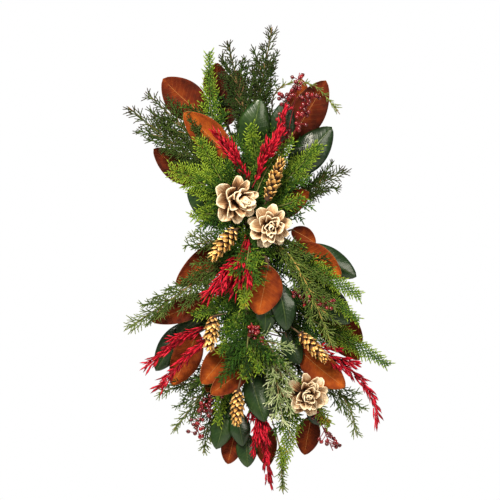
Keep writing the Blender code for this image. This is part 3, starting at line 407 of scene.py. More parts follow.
def leaf_blade(leaf, base, tip, tint, rng):
    """One leaf: a grid drawn in to a leaf's outline, arched, cupped and waved, then given its thickness."""
    axis, side, normal = frame_at(tip - base)
    length = (tip - base).length
    half = leaf.width / 2 * MM
    bpy.ops.mesh.primitive_grid_add(x_subdivisions=BLADE_ACROSS, y_subdivisions=BLADE_ALONG, size=1)
    blade = bpy.context.object
    phase = rng.uniform(0, 6)
    wave = length * rng.uniform(0.010, 0.022)
    curl = rng.uniform(0.0, 0.9) * MM
    bend = rng.uniform(-0.03, 0.03) * length
    for vert in blade.data.vertices:
        across, share = 2 * vert.co.x, vert.co.y + 0.5
        outline = sin(pi * share**LEAF_WIDEST) ** LEAF_FULLNESS if 0 < share < 1 else 0
        out = across * (half * outline + (LEAF_FOOT - share) * MM)
        bow = LEAF_ARCH * length * 4 * share * (1 - share) * leaf.face
        cup = leaf.face * LEAF_CUP * half * outline * abs(across) ** 1.5
        beat = sin(LEAF_WAVES * share + phase + (1.7 if across > 0 else 0))
        ripple = wave * abs(across) ** 3 * outline * beat
        rolled = leaf.face * curl * max(0, abs(across) - EDGE_ROLL_FROM) * EDGE_ROLL
        drift = bend * 4 * share * (1 - share)
        raised = bow - cup + ripple - rolled
        vert.co = base + axis * length * share + side * (out + drift) + normal * raised
    label(blade.data, "tint", [tint] * len(blade.data.vertices))
    near, far = (FELT_SIDE, GLOSS_SIDE) if leaf.face == FELT else (GLOSS_SIDE, FELT_SIDE)
    for material in (near, far, LEAF_EDGE):
        blade.data.materials.append(material)
    wall = blade.modifiers.new("wall", "SOLIDIFY")
    wall.thickness = BLADE_THICK * MM
    wall.offset = 0
    wall.material_offset = 1
    wall.material_offset_rim = 2
    only(blade)
    bpy.ops.object.modifier_apply(modifier="wall")
    bpy.ops.object.shade_smooth()
    middle = [
        base + axis * length * s + side * bend * 4 * s * (1 - s)
        + normal * (LEAF_ARCH * length * 4 * s * (1 - s) * leaf.face)
        for s in RIB_PLACES
    ]
    return blade, middle


def magnolia_twig(name, root, layer, places, leaves):
    rng = random.Random(name)
    path = stem_path(root, layer, places)
    blades = []
    bark_runs = [(path, *TWIG_RADII)]
    rib_runs = []
    for leaf in leaves:
        base = in_layer(layer + leaf.layer, leaf.base)
        tip = in_layer(layer + leaf.layer, leaf.tip, leaf.rise)
        start = along(path, max(MIN_FORK, share_near(path, base) - BACKSET * MM / length_of(path)))
        usual_tint = rng.uniform(0.25, 0.75)
        blade, middle = leaf_blade(leaf, base, tip, leaf.tint or usual_tint, rng)
        blades.append(blade)
        stalk = smooth([start, start.lerp(base, 0.6), base, middle[1]], 3)
        bark_runs.append((stalk[:STALK_KNOTS], *STALK_RADII))
        rib_runs.append((middle, *(RIB_STOUT if leaf.face == FELT else RIB_SUNK)))
    wood = [stems("twig", TWIG_BARK, bark_runs, 8), stems("ribs", MIDRIB, rib_runs)]
    for part in wood:
        label(part.data, "tint", [0.5] * len(part.data.vertices))
    dressed(joined(name.replace("_twig", ""), *blades, *wood), name, slot="magnolia_leaf")


def leaf_veins(finish):
    """The leaf's own map, as (distance from the midrib, side veins that curve towards the tip, share)."""
    place = finish.node("TexCoord", {}, "UV")
    across, share = (finish.node("SeparateXYZ", {0: place}, axis) for axis in "XY")
    off = (across * 2 - 1).size()
    slope = share - off * 0.16
    veins = slope.maths("PINGPONG", slope * 26, 1.0)
    return off, (1 - veins * 2.6).held(), share


def felt_side():
    """Rust-brown felt, mottled, with faint pale side veins, darker to its edge and base as painted shade."""
    felt = Finish("leaf_felt", {"Specular IOR Level": 0.1})
    off, veins, share = leaf_veins(felt)
    mottle = felt.grain(85.0, 4.0)
    fuzz = felt.grain(1500.0, 2.0)
    # Painted shade: the tone falls towards the leaf's edge and its base, and rises towards its tip.
    tone = (felt.attribute("tint") * 0.85 + mottle * 0.7 + share * 0.2 - 0.40 - off * 0.30).held()
    colour = felt.ramp(
        tone, (0.0, (0.040, 0.008, 0.005)), (0.3, (0.115, 0.018, 0.006)), (0.6, (0.24, 0.050, 0.008)),
        (0.85, (0.40, 0.105, 0.013)), (1.0, (0.55, 0.20, 0.035)),
    )
    colour = felt.mix(veins * 0.08 * (1 - off), colour, (0.52, 0.24, 0.08))
    return felt.done(colour, 0.68 + fuzz * 0.25, veins * 0.5 + fuzz * 0.25 + mottle * 0.6, 0.0006)


def gloss_side():
    """Waxy dark green with a yellow-green midrib."""
    wax = Finish("leaf_gloss", {"Coat Weight": 0.35, "Coat Roughness": 0.16, "Specular IOR Level": 0.4})
    off, veins, _ = leaf_veins(wax)
    mottle = wax.grain(60.0)
    tone = (wax.attribute("tint") * 0.6 + mottle * 0.6 - 0.1).held()
    colour = wax.ramp(
        tone, (0.0, (0.004, 0.014, 0.004)), (0.5, (0.009, 0.032, 0.007)), (1.0, (0.045, 0.085, 0.014))
    )
    rib = (1 - off * 22).held()
    colour = wax.mix(rib * 0.5, wax.mix(veins * 0.06, colour, (0.08, 0.15, 0.04)), (0.15, 0.20, 0.05))
    return wax.done(colour, 0.22 + mottle * 0.22, veins * 0.12 + mottle * 0.8 - rib * 0.5, 0.0010)


def plain(name, colour, shade, roughness, scale=300.0):
    """A dry surface mottled between two tones."""
    finish = Finish(name)
    mottle = finish.grain(scale)
    return finish.done(finish.mix(mottle, colour, shade), roughness + mottle * 0.15, mottle, 0.0003)


FELT_SIDE = felt_side()
GLOSS_SIDE = gloss_side()
LEAF_EDGE = plain("leaf_edge", (0.42, 0.22, 0.07), (0.30, 0.13, 0.04), 0.6)
MIDRIB = plain("leaf_midrib", (0.46, 0.22, 0.07), (0.32, 0.11, 0.025), 0.6)
TWIG_BARK = bark("twig_bark", (0.14, 0.09, 0.045), (0.06, 0.035, 0.02))

magnolia_twig("magnolia_twig_top", on_left(108, 0), 0, [(-32, 150), (-56, 196)], [
    Leaf((-30, 206), (-28, 273), 38, FELT, 0.8, tint=0.16),
    Leaf((-42, 176), (-42, 240), 34, FELT, 1.7, -4, tint=0.10),
    Leaf((-67, 219), (-61, 287), 44, FELT, 0, tint=0.22),
])
magnolia_twig("magnolia_twig_upper_left", on_left(92, 2), 1.6, [(-45, 135), (-72, 170)], [
    Leaf((-38, 118), (-119, 196), 52, FELT, 2.4, -8, tint=0.78),
    Leaf((-80, 190), (-156, 256), 66, FELT, 0, 6, tint=0.40),
])
magnolia_twig("magnolia_twig_left", on_left(4, 2), 2, [(-40, 20), (-78, 56)], [
    Leaf((-36, -26), (-133, -105), 52, FELT, 0.8, 0, tint=0.50),
    Leaf((-40, 2), (-112, 61), 50, GLOSS, 0.7, 10),
    Leaf((-89, 74), (-173, 134), 48, FELT, -0.4, -8, tint=0.28),
])
magnolia_twig("magnolia_twig_centre_top", on_top(4, 4), 4, [(4, 100), (0, 108)], [
    Leaf((38, 128), (60, 217), 46, GLOSS, -0.5, 6),
    Leaf((-10, 123), (14, 219), 56, GLOSS, 0.4),
])
magnolia_twig("magnolia_twig_upper_right", on_right(100, 1), 1, [(40, 122), (54, 134)], [
    Leaf((70, 166), (88, 259), 45, FELT, -0.8, -4),
    Leaf((62, 144), (130, 254), 62, FELT, 0.2, 2, tint=0.34),
])
magnolia_twig("magnolia_twig_right", on_right(62, 2), 2.5, [(38, 70), (58, 80)], [
    Leaf((67, 87), (140, 172), 59, GLOSS, 0, -6),
])
magnolia_twig("magnolia_twig_waist_right", on_right(6, 3), 2.8, [(32, -6), (58, -26)], [
    Leaf((35, 35), (62, 96), 32, GLOSS, 0.6, 6),
    Leaf((28, 14), (100, 58), 46, FELT, -0.7, 4),
    Leaf((70, -8), (112, -32), 30, FELT, -1.0, 0),
    Leaf((86, -39), (184, -91), 48, GLOSS, -1.8, -4),
    Leaf((67, -35), (156, -91), 52, FELT, 0.3, -2, tint=0.78),
])
magnolia_twig("magnolia_twig_low_left", on_left(-84, 2), 2, [(-40, -108), (-54, -124)], [
    Leaf((-65, -124), (-175, -168), 42, FELT, 1.0, 8, tint=0.36),
    Leaf((-62, -140), (-132, -192), 46, GLOSS, 0, -4),
])
magnolia_twig("magnolia_twig_lower_left", on_left(-112, 1), 1, [(-55, -145), (-88, -170)], [
    Leaf((-109, -172), (-170, -257), 46, GLOSS, -0.7, 2),
    Leaf((-96, -186), (-140, -282), 50, FELT, 0.2, -2),
])
magnolia_twig("magnolia_twig_centre", on_front(6, -44), 7, [(24, -56), (30, -64)], [
    Leaf((24, -92), (22, -190), 50, GLOSS, -0.6, -2),
    Leaf((44, -100), (60, -184), 44, GLOSS, -0.5, -6),
    Leaf((28, -70), (11, -156), 63, FELT, 1.7, -4, tint=0.68),
])
magnolia_twig("magnolia_twig_lower_right", on_right(-66, 2), 2, [(56, -84), (92, -100)], [
    Leaf((112, -150), (190, -238), 40, FELT, -1.8, 0),
    Leaf((124, -132), (194, -205), 46, FELT, -1.0, -4),
    Leaf((102, -108), (170, -172), 52, GLOSS, 0.8, 8),
])
magnolia_twig("magnolia_twig_low_right", on_right(-158, 2), 2, [(44, -188), (70, -210)], [
    Leaf((58, -189), (84, -244), 36, GLOSS, 1.0, -4),
    Leaf((84, -219), (163, -284), 52, FELT, 0, 8, tint=0.74),
])
magnolia_twig("magnolia_twig_low_centre", on_left(-188, 4), 4, [(-24, -198)], [
    Leaf((-28, -222), (-80, -292), 44, FELT, -0.8, -6),
    Leaf((-32, -208), (-88, -277), 50, FELT, -0.1, 0, tint=0.72),
])
magnolia_twig("magnolia_twig_foot_front", on_foot(-2, 4), 4, [(2, -244)], [
    Leaf((22, -256), (38, -340), 40, GLOSS, -0.6, -6),
    Leaf((-6, -250), (-72, -294), 40, FELT, 1.7, 0, tint=0.60),
    Leaf((-2, -258), (22, -343), 42, GLOSS, 0.4, 8),
])
magnolia_twig("magnolia_twig_foot", on_foot(-4, 1), 1, [(-18, -325), (-12, -352)], [
    Leaf((-40, -315), (-63, -394), 42, GLOSS, 0.3, 2),
    Leaf((-28, -326), (-16, -388), 36, GLOSS, 1.4, -4),
    Leaf((-30, -366), (-43, -422), 36, FELT, -0.8, 0),
    Leaf((16, -345), (28, -426), 40, FELT, -0.6, 2),
    Leaf((-12, -366), (-8, -426), 36, GLOSS, 0, 4),
])
magnolia_twig("magnolia_twig_foot_right", on_right(-282, 0), 0, [(60, -308), (96, -326)], [
    Leaf((100, -322), (126, -352), 28, GLOSS, 0.6, 2),
    Leaf((105, -338), (93, -406), 42, FELT),
])


# The cedar: flat lacy fronds. A rib carries side sprays left and right, and each side spray is a chain of
# small overlapping scales with blunt scaly fingers at both sides, dark near the rib and yellow-green at the
# tips. Short fronds in painted shade fill the inner part of each stem and ring its root.

HANDS = (-1, 1)
FROND_STEP = 5.6
DENSE_STEP = 4.2
FROND_SLANT = 50
FROND_CLOSING = 16
FROND_WIDEST = 0.3
FROND_END = 7 * MM
FILLING_LONG = (36, 66)
FILLING_WIDE = (12, 18)
FILLING_TURN = (18, 66)
COLLAR_LONG = (32, 54)
COLLAR_WIDE = (11, 16)
SCALE_STEP = 4.9
CEDAR_SCALE = (SCALE_STEP * 1.7 * MM, 2.9 * MM, 1.8 * MM)
RIB_SCALE = (8 * MM, 2.8 * MM, 2.2 * MM)
FINGER_GIRTH = (2.7 * MM, 1.7 * MM)
FINGER_SLANT = radians(40)
FINGER_CUT = 0.6
CEDAR_RADII = (1.5, 0.5)
UP = Vector((0, 0, 1))
SWAG_FRONT = 0.100
SWAG_BACK = 0.008
SWAG_SWELL = 0.012


def triangulate():
    """Splits the active object's faces into triangles."""
    bpy.ops.object.mode_set(mode="EDIT")
    bpy.ops.mesh.select_all(action="SELECT")
    bpy.ops.mesh.quads_convert_to_tris()
    bpy.ops.object.mode_set(mode="OBJECT")


def modelled_once():
    """Takes the active object away and gives its points and triangles, in its own place."""
    shape = bpy.context.object
    bpy.ops.object.transform_apply(location=True, rotation=True, scale=True)
    points = np.array([vert.co for vert in shape.data.vertices])
    faces = np.array([face.vertices for face in shape.data.polygons])
    bpy.data.objects.remove(shape)
    return points, faces


def finger():
    """The shape that all fine sprays are made of, modelled once: a blunt three-sided spindle along Z."""
    bpy.ops.mesh.primitive_cone_add(vertices=3, radius1=0.4, depth=1, location=(0, 0, 0.5))
    bpy.ops.object.mode_set(mode="EDIT")
    bpy.ops.mesh.select_all(action="SELECT")
    bpy.ops.mesh.bisect(plane_co=(0, 0, FINGER_CUT), plane_no=(0, 0, 1))
    triangulate()
    for vert in bpy.context.object.data.vertices:
        share = vert.co.z + 0.5
        if share < 0.99:
            girth = sin(pi * (0.2 + 0.8 * share)) ** 0.6
            vert.co.x, vert.co.y = Vector((vert.co.x, vert.co.y)).normalized() * 0.5 * girth
    return modelled_once()


class Growth:
    """Many copies of one shape in one mesh. X of the shape is its width, Y its depth, Z its length."""

    def __init__(self, shape):
        self.points, self.faces = shape
        self.copies = []

    def add(self, start, ahead, wide, length, width, depth, tint, age, aging=0.0):
        self.copies.append((*start, *ahead, *wide, length, width, depth, tint, age, aging))

    def piece(self, name, material):
        """The mesh, its foremost points eased back, with tints and ages for its material to read."""
        copies = np.array(self.copies)
        start, ahead, wide = copies[:, 0:3], copies[:, 3:6], copies[:, 6:9]
        length, width, depth, tint, age, aging = copies[:, 9:15].T
        normal = np.cross(wide, ahead)
        x, y, z = self.points.T
        places = (
            start[:, None]
            + wide[:, None] * (width[:, None] * x)[..., None]
            + normal[:, None] * (depth[:, None] * y)[..., None]
            + ahead[:, None] * (length[:, None] * z)[..., None]
        )
        beyond = np.maximum(0.0, -places[..., 1] - SWAG_FRONT)
        places[..., 1] += beyond - SWAG_SWELL * (1 - np.exp(-beyond / SWAG_SWELL))
        faces = self.faces[None] + (np.arange(len(copies)) * len(self.points))[:, None, None]
        mesh = bpy.data.meshes.new(name)
        mesh.from_pydata(places.reshape(-1, 3), [], faces.reshape(-1, 3))
        label(mesh, "tint", np.repeat(tint, len(self.points)))
        label(mesh, "age", (age[:, None] + aging[:, None] * z).ravel())
        label(mesh, "off", np.tile(x * 2, len(copies)))
        mesh.materials.append(material)
        grown = placed(name, mesh)
        only(grown)
        bpy.ops.object.shade_smooth()
        return grown


def heading(path, share):
    return (along(path, min(1.0, share + 0.02)) - along(path, max(0.0, share - 0.02))).normalized()


def station(path, share):
    """A place on a path, with the way ahead, the way to the right and the way towards the room."""
    ahead = heading(path, share)
    _, side, normal = frame_at(ahead)
    return along(path, share), ahead, side, normal


def leaning(ahead, side, slant):
    """A way between straight ahead and sideways."""
    return ahead * cos(slant) + side * sin(slant)


def side_spray(growth, start, ahead, normal, reach, tint, fresh, rng):
    """A chain of scales with a finger at each side, longest near its root. Fresh tips are pale."""
    count = max(2, round(reach / (SCALE_STEP * MM)))
    place = start
    for i in range(count):
        share = i / count
        wide = ahead.cross(normal).normalized()
        tone = tint + rng.uniform(-0.1, 0.1)
        growth.add(place, ahead, wide, *CEDAR_SCALE, tone, 0.6 * share * fresh)
        for hand in HANDS:
            slant = FINGER_SLANT * rng.uniform(0.8, 1.25)
            out = leaning(ahead, wide * hand, slant) + normal * rng.uniform(-0.2, 0.2)
            long = (4.4 * MM + reach * 0.34 * (1 - 0.8 * share)) * rng.uniform(0.75, 1.15)
            out.normalize()
            across = out.cross(normal).normalized()
            age = (0.1 + 0.4 * share) * fresh
            growth.add(place, out, across, long, *FINGER_GIRTH, tone, age, 0.55 * fresh)
        place = place + ahead * SCALE_STEP * MM
        ahead = (ahead - normal * rng.uniform(-0.03, 0.07) + wide * rng.uniform(-0.05, 0.05)).normalized()
    growth.add(place, ahead, wide, CEDAR_SCALE[0], *FINGER_GIRTH, tint, 0.6 * fresh, 0.4 * fresh)


def frond(growth, path, half_width, bare, tint, fresh, rng, step=FROND_STEP):
    """Side sprays at alternate sides of a rib, longest a third of the way up."""
    steps = round(length_of(path) * (1 - bare) / (step * MM))
    for i in range(steps):
        grown = i / steps
        place, ahead, side, normal = station(path, bare + (1 - bare) * grown)
        swell = 0.50 + 1.7 * grown if grown < FROND_WIDEST else 1.31 - 1.0 * grown
        reach = half_width * MM * swell * rng.uniform(0.8, 1.15)
        slant = radians(FROND_SLANT - FROND_CLOSING * grown) * rng.uniform(0.88, 1.12)
        out = leaning(ahead, side * HANDS[i % 2], slant) - normal * rng.uniform(-0.05, 0.2)
        side_spray(growth, place, out.normalized(), normal, reach, tint + 0.12 * grown, fresh, rng)
        growth.add(place, ahead, side, *RIB_SCALE, tint, 0.1)
    growth.add(along(path, 0.985), heading(path, 1.0), side, FROND_END, *FINGER_GIRTH, tint + 0.1, fresh)


def side_route(path, share, long, turn, lift):
    """The way of a small branch that leaves a stem at an angle in degrees and bends after the stem."""
    place, ahead, side, normal = station(path, share)
    out = leaning(ahead, side, radians(turn)) + normal * lift
    route = [place + (out * step + ahead * 0.05 * step**2) * long * MM / 4 for step in range(5)]
    return [Vector((point.x, min(-SWAG_BACK, max(point.y, -SWAG_FRONT)), point.z)) for point in route]


def filling(growth, path, upto, size, step, tint, rng):
    """Small fronds in painted shade at both sides of a stem, up to a share of it, in pairs in front and
    behind.
    """
    count = max(4, round(length_of(path) * upto / (step * MM)))
    for i in range(count):
        share = 0.05 + (upto - 0.05) * (i + rng.uniform(0.1, 0.9)) / count
        turn = rng.uniform(*FILLING_TURN) * HANDS[i % 2]
        behind = i % 4 < 2
        lift = rng.uniform(-0.5, -0.2) if behind else rng.uniform(-0.1, 0.2)
        route = side_route(path, share, rng.uniform(*FILLING_LONG) * size, turn, lift)
        # Painted shade: fronds behind are darkest, those in front a little darker, and both get fewer pale
        # tips.
        painted_shade = 0.35 if behind else rng.uniform(0.05, 0.25)
        half_width = rng.uniform(*FILLING_WIDE) * size
        frond(growth, route, half_width, 0.08, tint - painted_shade, rng.uniform(0.3, 0.9) * (1 - painted_shade), rng)


def collar(growth, start, sprigs, tint, rng):
    """Short sprigs in painted shade all round a root, which hide the bound stems."""
    for i in range(sprigs):
        turn = tau * (i + rng.uniform(0.1, 0.9)) / sprigs
        out = Vector((cos(turn), 0, sin(turn))) + TO_ROOM * rng.uniform(0.0, 0.3)
        long = rng.uniform(*COLLAR_LONG) * MM
        route = [start + (out * step - UP * 0.03 * step**2) * long / 4 for step in range(5)]
        half_width = rng.uniform(*COLLAR_WIDE)
        # Painted shade: each sprig's tint is lowered and its pale tips are kept few.
        frond(growth, route, half_width, 0.05, tint - rng.uniform(0.1, 0.3), rng.uniform(0.2, 0.7), rng)


def cedar_branch(name, root, layer, fronds, tint=0.56, fuller=1.2, size=1.0, step=6.8, upto=0.6, sprigs=11):
    """Fronds from one root. Each is (places, half width, bare share, layer). Size, step in mm and the share
    that it reaches up to are those of its filling."""
    rng = random.Random(name)
    growth = Growth(FINGER)
    ribs = []
    for places, half_width, bare, lift in fronds:
        path = stem_path(root, layer + lift, places)
        ribs.append((path, *CEDAR_RADII))
        frond(growth, path, half_width * fuller, bare, tint + rng.uniform(-0.05, 0.05), 1.0, rng, DENSE_STEP)
        filling(growth, path, min(upto, bare + 0.2), size, step, tint, rng)
    collar(growth, root[1], sprigs, tint, rng)
    piece = joined(name + "_fronds", growth.piece(name, CEDAR_GREEN), stems("rib", CEDAR_RIB, ribs))
    dressed(piece, name, slot="cedar")


def scaly_green(name, stops, young, roughness):
    """Scaly foliage: its tone is each spray's own, darker in painted shade and paler towards the young tips.
    """
    green = Finish(name, {"Specular IOR Level": 0.2})
    mottle = green.grain(160.0, 2.0)
    scales = green.grain(1400.0, 1.0)
    colour = green.ramp((green.attribute("tint") + mottle * 0.4 - 0.26).held(), *stops)
    tip = (green.attribute("age") * 1.6 - 0.62 + mottle * 0.4).held()
    return green.done(green.mix(tip, colour, young), roughness + scales * 0.2, scales, 0.0005)


CEDAR_GREEN = scaly_green(
    "cedar_scales",
    ((0.0, (0.005, 0.018, 0.004)), (0.35, (0.012, 0.042, 0.005)), (0.65, (0.040, 0.108, 0.009)),
     (0.85, (0.15, 0.22, 0.014)), (1.0, (0.42, 0.24, 0.02))),
    (0.30, 0.42, 0.04),
    0.5,
)
CEDAR_RIB = plain("cedar_rib", (0.20, 0.15, 0.05), (0.09, 0.12, 0.03), 0.6)
FINGER = finger()

cedar_branch("cedar_left", on_left(18, 4), 4.6, [
    ([(-50, 48), (-95, 76), (-140, 96)], 32, 0.25, 0),
    ([(-42, 58), (-66, 100), (-92, 148)], 26, 0.3, 0.7),
    ([(-50, 18), (-80, 19), (-104, 15)], 22, 0.3, -0.2),
], tint=0.68, size=0.85)
cedar_branch("cedar_top_left", on_left(76, 3), 2.4, [
    ([(-50, 120), (-70, 190), (-75, 300)], 17, 0.42, 0),
], tint=0.62, size=0.8)
cedar_branch("cedar_centre_top", on_front(2, 40), 6.2, [
    ([(8, 78), (6, 120), (-2, 172)], 20, 0.35, 0),
    ([(20, 84), (40, 116), (70, 146)], 18, 0.3, 0.6),
], tint=0.66)
cedar_branch("cedar_right", on_right(34, 4), 4.4, [
    ([(34, 52), (74, 92), (118, 138)], 25, 0.2, 0),
    ([(42, 32), (66, 38), (88, 48)], 13, 0.4, 0.5),
], tint=0.68, size=0.7)
cedar_branch("cedar_waist", on_front(-4, -34), 10, [
    ([(-8, -60), (-12, -95), (-14, -142)], 16, 0.25, 0),
], tint=0.78, fuller=1.7, size=0.75, sprigs=24)
cedar_branch("cedar_low_left", on_left(-64, 4), 4.0, [
    ([(-26, -104), (-60, -140), (-102, -157)], 17, 0.3, 0),
], tint=0.6, fuller=1.4)
cedar_branch("cedar_lower_left", on_left(-136, 5), 5.4, [
    ([(-24, -160), (-40, -190), (-56, -222)], 16, 0.2, 0),
], tint=0.7, fuller=1.6, sprigs=20)
cedar_branch("cedar_low_centre", on_front(-6, -190), 8.3, [
    ([(-8, -206), (-10, -230), (-16, -264)], 15, 0.4, 0),
    ([(3, -219), (9, -234), (12, -254)], 12, 0.4, 0.8),
], tint=0.66)
cedar_branch("cedar_foot_left", on_left(-240, 2), 2.6, [
    ([(-34, -268), (-52, -300), (-60, -348)], 15, 0.3, 0),
], tint=0.68)
cedar_branch("cedar_waist_right", on_right(-38, 4), 4.6, [
    ([(60, -50), (110, -80), (186, -124)], 22, 0.3, 0.2),
    ([(60, -68), (120, -114), (184, -166)], 18, 0.4, -0.5),
], size=0.65)
cedar_branch("cedar_foot_right", on_right(-246, 2), 2.0, [
    ([(52, -290), (66, -350), (54, -425)], 16, 0.35, 0),
    ([(60, -276), (100, -300), (134, -350)], 15, 0.45, 0.6),
], tint=0.8, fuller=1.5, size=0.6)
cedar_branch("cedar_lower_right", on_right(-122, 1), 1.8, [
    ([(70, -148), (150, -192), (238, -245)], 22, 0.4, 0),
], size=1.2, step=3.6, upto=0.4, sprigs=20)


# The juniper: round twigs set with tight scales, olive to silver-green, forking again and again, with brown
# stems and, on some sprays, brown tips. The sprays reach furthest out of the swag and are loose there.

JUNIPER_STEP = 4.3
FORK_SLANT = (20, 42)
TWIG_SLANT = (20, 40)
SIDE_ARM_TURN = (16, 38)
SIDE_ARM_REACH = 12
SIDE_ARM_STEP = 5.5
TWIG_TIP = (JUNIPER_STEP * 1.5 * MM, 2.0 * MM, 2.0 * MM)
ARM_SCALE = (7 * MM, 2.8 * MM, 2.8 * MM)
JUNIPER_RADII = (1.7, 0.7)
SIDE_ARM_RADII = (0.9, 0.5)
JUNIPER_TONES = (
    (0.0, (0.012, 0.028, 0.006)), (0.3, (0.030, 0.062, 0.010)), (0.6, (0.075, 0.125, 0.022)),
    (0.85, (0.16, 0.22, 0.04)), (1.0, (0.28, 0.31, 0.05)),
)
SILVER_TONES = (
    (0.0, (0.030, 0.055, 0.018)), (0.3, (0.08, 0.13, 0.045)), (0.6, (0.26, 0.33, 0.14)),
    (1.0, (0.50, 0.57, 0.32)),
)
JUNIPER_GREEN = scaly_green("juniper_scales", JUNIPER_TONES, (0.22, 0.27, 0.09), 0.55)
JUNIPER_SILVER = scaly_green("juniper_silver_scales", SILVER_TONES, (0.78, 0.84, 0.58), 0.55)
JUNIPER_DARK = scaly_green("juniper_dark_scales", JUNIPER_TONES, (0.052, 0.034, 0.020), 0.6)
YOUNG_BARK = bark("juniper_young_bark", (0.55, 0.36, 0.10), (0.32, 0.17, 0.05))
JUNIPER_BARK = bark("juniper_bark", (0.30, 0.17, 0.07), (0.12, 0.07, 0.03))


def juniper_twig(growth, start, ahead, normal, reach, tint, age, forks, rng):
    """A chain of scales that forks to both sides, at each so many scales. Its age is how far out it grows."""
    count = max(1, round(reach / (JUNIPER_STEP * MM)))
    place = start
    for i in range(count):
        share = i / count
        wide = ahead.cross(normal).normalized()
        girth = (2.7 - 0.6 * share) * MM
        tone = tint + rng.uniform(-0.12, 0.12)
        growth.add(place, ahead, wide, JUNIPER_STEP * 1.6 * MM, girth, girth, tone, age * (0.5 + 0.5 * share))
        if forks and i % forks == 0:
            slant = radians(rng.uniform(*FORK_SLANT))
            out = leaning(ahead, wide * HANDS[i // forks % 2], slant)
            out = (out + normal * rng.uniform(-0.35, 0.45)).normalized()
            long = (4 * MM + reach * (0.42 - 0.3 * share)) * rng.uniform(0.6, 1.2)
            juniper_twig(growth, place, out, normal, long, tone, age * (0.7 + 0.3 * share), 0, rng)
        place = place + ahead * JUNIPER_STEP * MM
        ahead = (ahead + wide * rng.uniform(-0.10, 0.10) + normal * rng.uniform(-0.08, 0.08)).normalized()
    growth.add(place, ahead, wide, *TWIG_TIP, tint, age, 0.3 * age)


def juniper_arm(growth, path, reach, spacing, tint, outer, rng, forks=1, spread=0, begin=0.08):
    """A branch with twigs at alternate sides, clad in scales itself towards its end."""
    length = length_of(path)
    steps = max(3, round(length * 0.9 / (spacing * MM)))
    for i in range(steps):
        share = begin + (0.96 - begin) * i / (steps - 1)
        place, ahead, side, normal = station(path, share)
        slant = radians(rng.uniform(*TWIG_SLANT) + spread)
        out = leaning(ahead, side * HANDS[i % 2], slant) + normal * rng.uniform(-0.2, 0.35)
        long = reach * MM * (1.15 - 0.6 * share) * rng.uniform(0.65, 1.2)
        grown = outer * (0.25 + 0.75 * share)
        juniper_twig(growth, place, out.normalized(), normal, long, tint, grown, forks, rng)
    _, ahead, _, normal = station(path, 0.97)
    end_reach = min(length * 0.08, 14 * MM)
    juniper_twig(growth, along(path, 0.92), ahead, normal, end_reach, tint, outer, 1, rng)
    steps = round(length * 0.55 / (4 * MM))
    for i in range(steps):
        share = 0.45 + 0.5 * i / steps
        place, ahead, side, _ = station(path, share)
        growth.add(place, ahead, side, *ARM_SCALE, tint, 0.5 * outer * share)


def juniper_spray(name, root, layer, arms, tint=0.5, scales=JUNIPER_GREEN, wood=JUNIPER_BARK, side_step=13,
                  fuller=0.85, spacing=6.5, **habit):
    """Arms from one root. Each is (places, reach of its side twigs, layer). Side arms leave each of them at
    every side step in mm, and there are none where it is 0."""
    rng = random.Random(name)
    growth = Growth(FINGER)
    branches = []
    for places, reach, lift in arms:
        path = stem_path(root, layer + lift, places)
        branches.append((path, *JUNIPER_RADII))
        juniper_arm(growth, path, reach * fuller, spacing, tint, 1.0, rng, **habit)
        count = round(length_of(path) / (side_step * MM)) if side_step else 0
        for i in range(count):
            share = 0.10 + 0.62 * (i + rng.uniform(0.2, 0.8)) / count
            turn = rng.uniform(*SIDE_ARM_TURN) * HANDS[i % 2]
            long = min(56 - 28 * share, 0.38 * length_of(path) / MM) * rng.uniform(0.75, 1.15)
            route = side_route(path, share, long, turn, rng.uniform(-0.15, 0.2))
            branches.append((route, *SIDE_ARM_RADII))
            juniper_arm(growth, route, SIDE_ARM_REACH, SIDE_ARM_STEP, tint - 0.08, 0.35 + 0.6 * share, rng)
    piece = joined(name + "_twigs", growth.piece(name, scales), stems("branch", wood, branches))
    dressed(piece, name, slot="juniper")


juniper_spray("juniper_left", on_left(66, 2), 2.6, [
    ([(-60, 94), (-130, 136), (-216, 206)], 30, 0),
    ([(-74, 112), (-120, 170), (-186, 232)], 20, 0.3),
], tint=0.6, scales=JUNIPER_DARK)
juniper_spray("juniper_top", on_top(2, 2), 2.8, [
    ([(8, 190), (20, 260), (35, 345)], 28, 0),
    ([(-12, 190), (-26, 250), (-42, 318)], 20, 0.7),
], tint=0.44, scales=JUNIPER_DARK, side_step=10)
juniper_spray("juniper_arch", on_right(84, 2), 2.1, [
    ([(36, 118), (36, 180), (38, 226), (66, 248), (112, 242), (154, 194)], 12, 0),
], tint=0.85, side_step=0, fuller=0.5)
juniper_spray("juniper_right", on_right(20, 1), 1.0, [
    ([(60, 44), (110, 68), (162, 96)], 30, 0),
], tint=0.55, scales=JUNIPER_DARK)
juniper_spray("juniper_low_left", on_left(-48, 4), 3.9, [
    ([(-60, -72), (-130, -122), (-214, -178)], 32, 0),
    ([(-44, -44), (-76, -30), (-108, -16)], 16, 0.1),
], tint=0.66, side_step=23)
juniper_spray("juniper_waist_right", on_right(-16, 5), 6.5, [
    ([(62, -50), (100, -114), (140, -214)], 22, 0),
], tint=0.74, wood=YOUNG_BARK, side_step=23)
juniper_spray("juniper_centre", on_front(8, -192), 6.6, [
    ([(36, -220), (44, -280), (54, -345)], 30, 0),
], tint=0.72, scales=JUNIPER_SILVER, side_step=23, fuller=1.2, spacing=15, forks=2, spread=20)
juniper_spray("juniper_foot", on_foot(9, 2), 1.7, [
    ([(34, -340), (50, -400), (53, -467)], 20, 0),
], tint=0.35, side_step=0, fuller=0.5, begin=0.6)
juniper_spray("juniper_foot_left", on_left(-214, 1), 0.5, [
    ([(-60, -250), (-110, -278), (-165, -296)], 22, 0),
    ([(-60, -268), (-104, -318), (-138, -360)], 20, 0.5),
    ([(-50, -290), (-76, -346), (-86, -402)], 20, -0.2),
], tint=0.45, side_step=23)
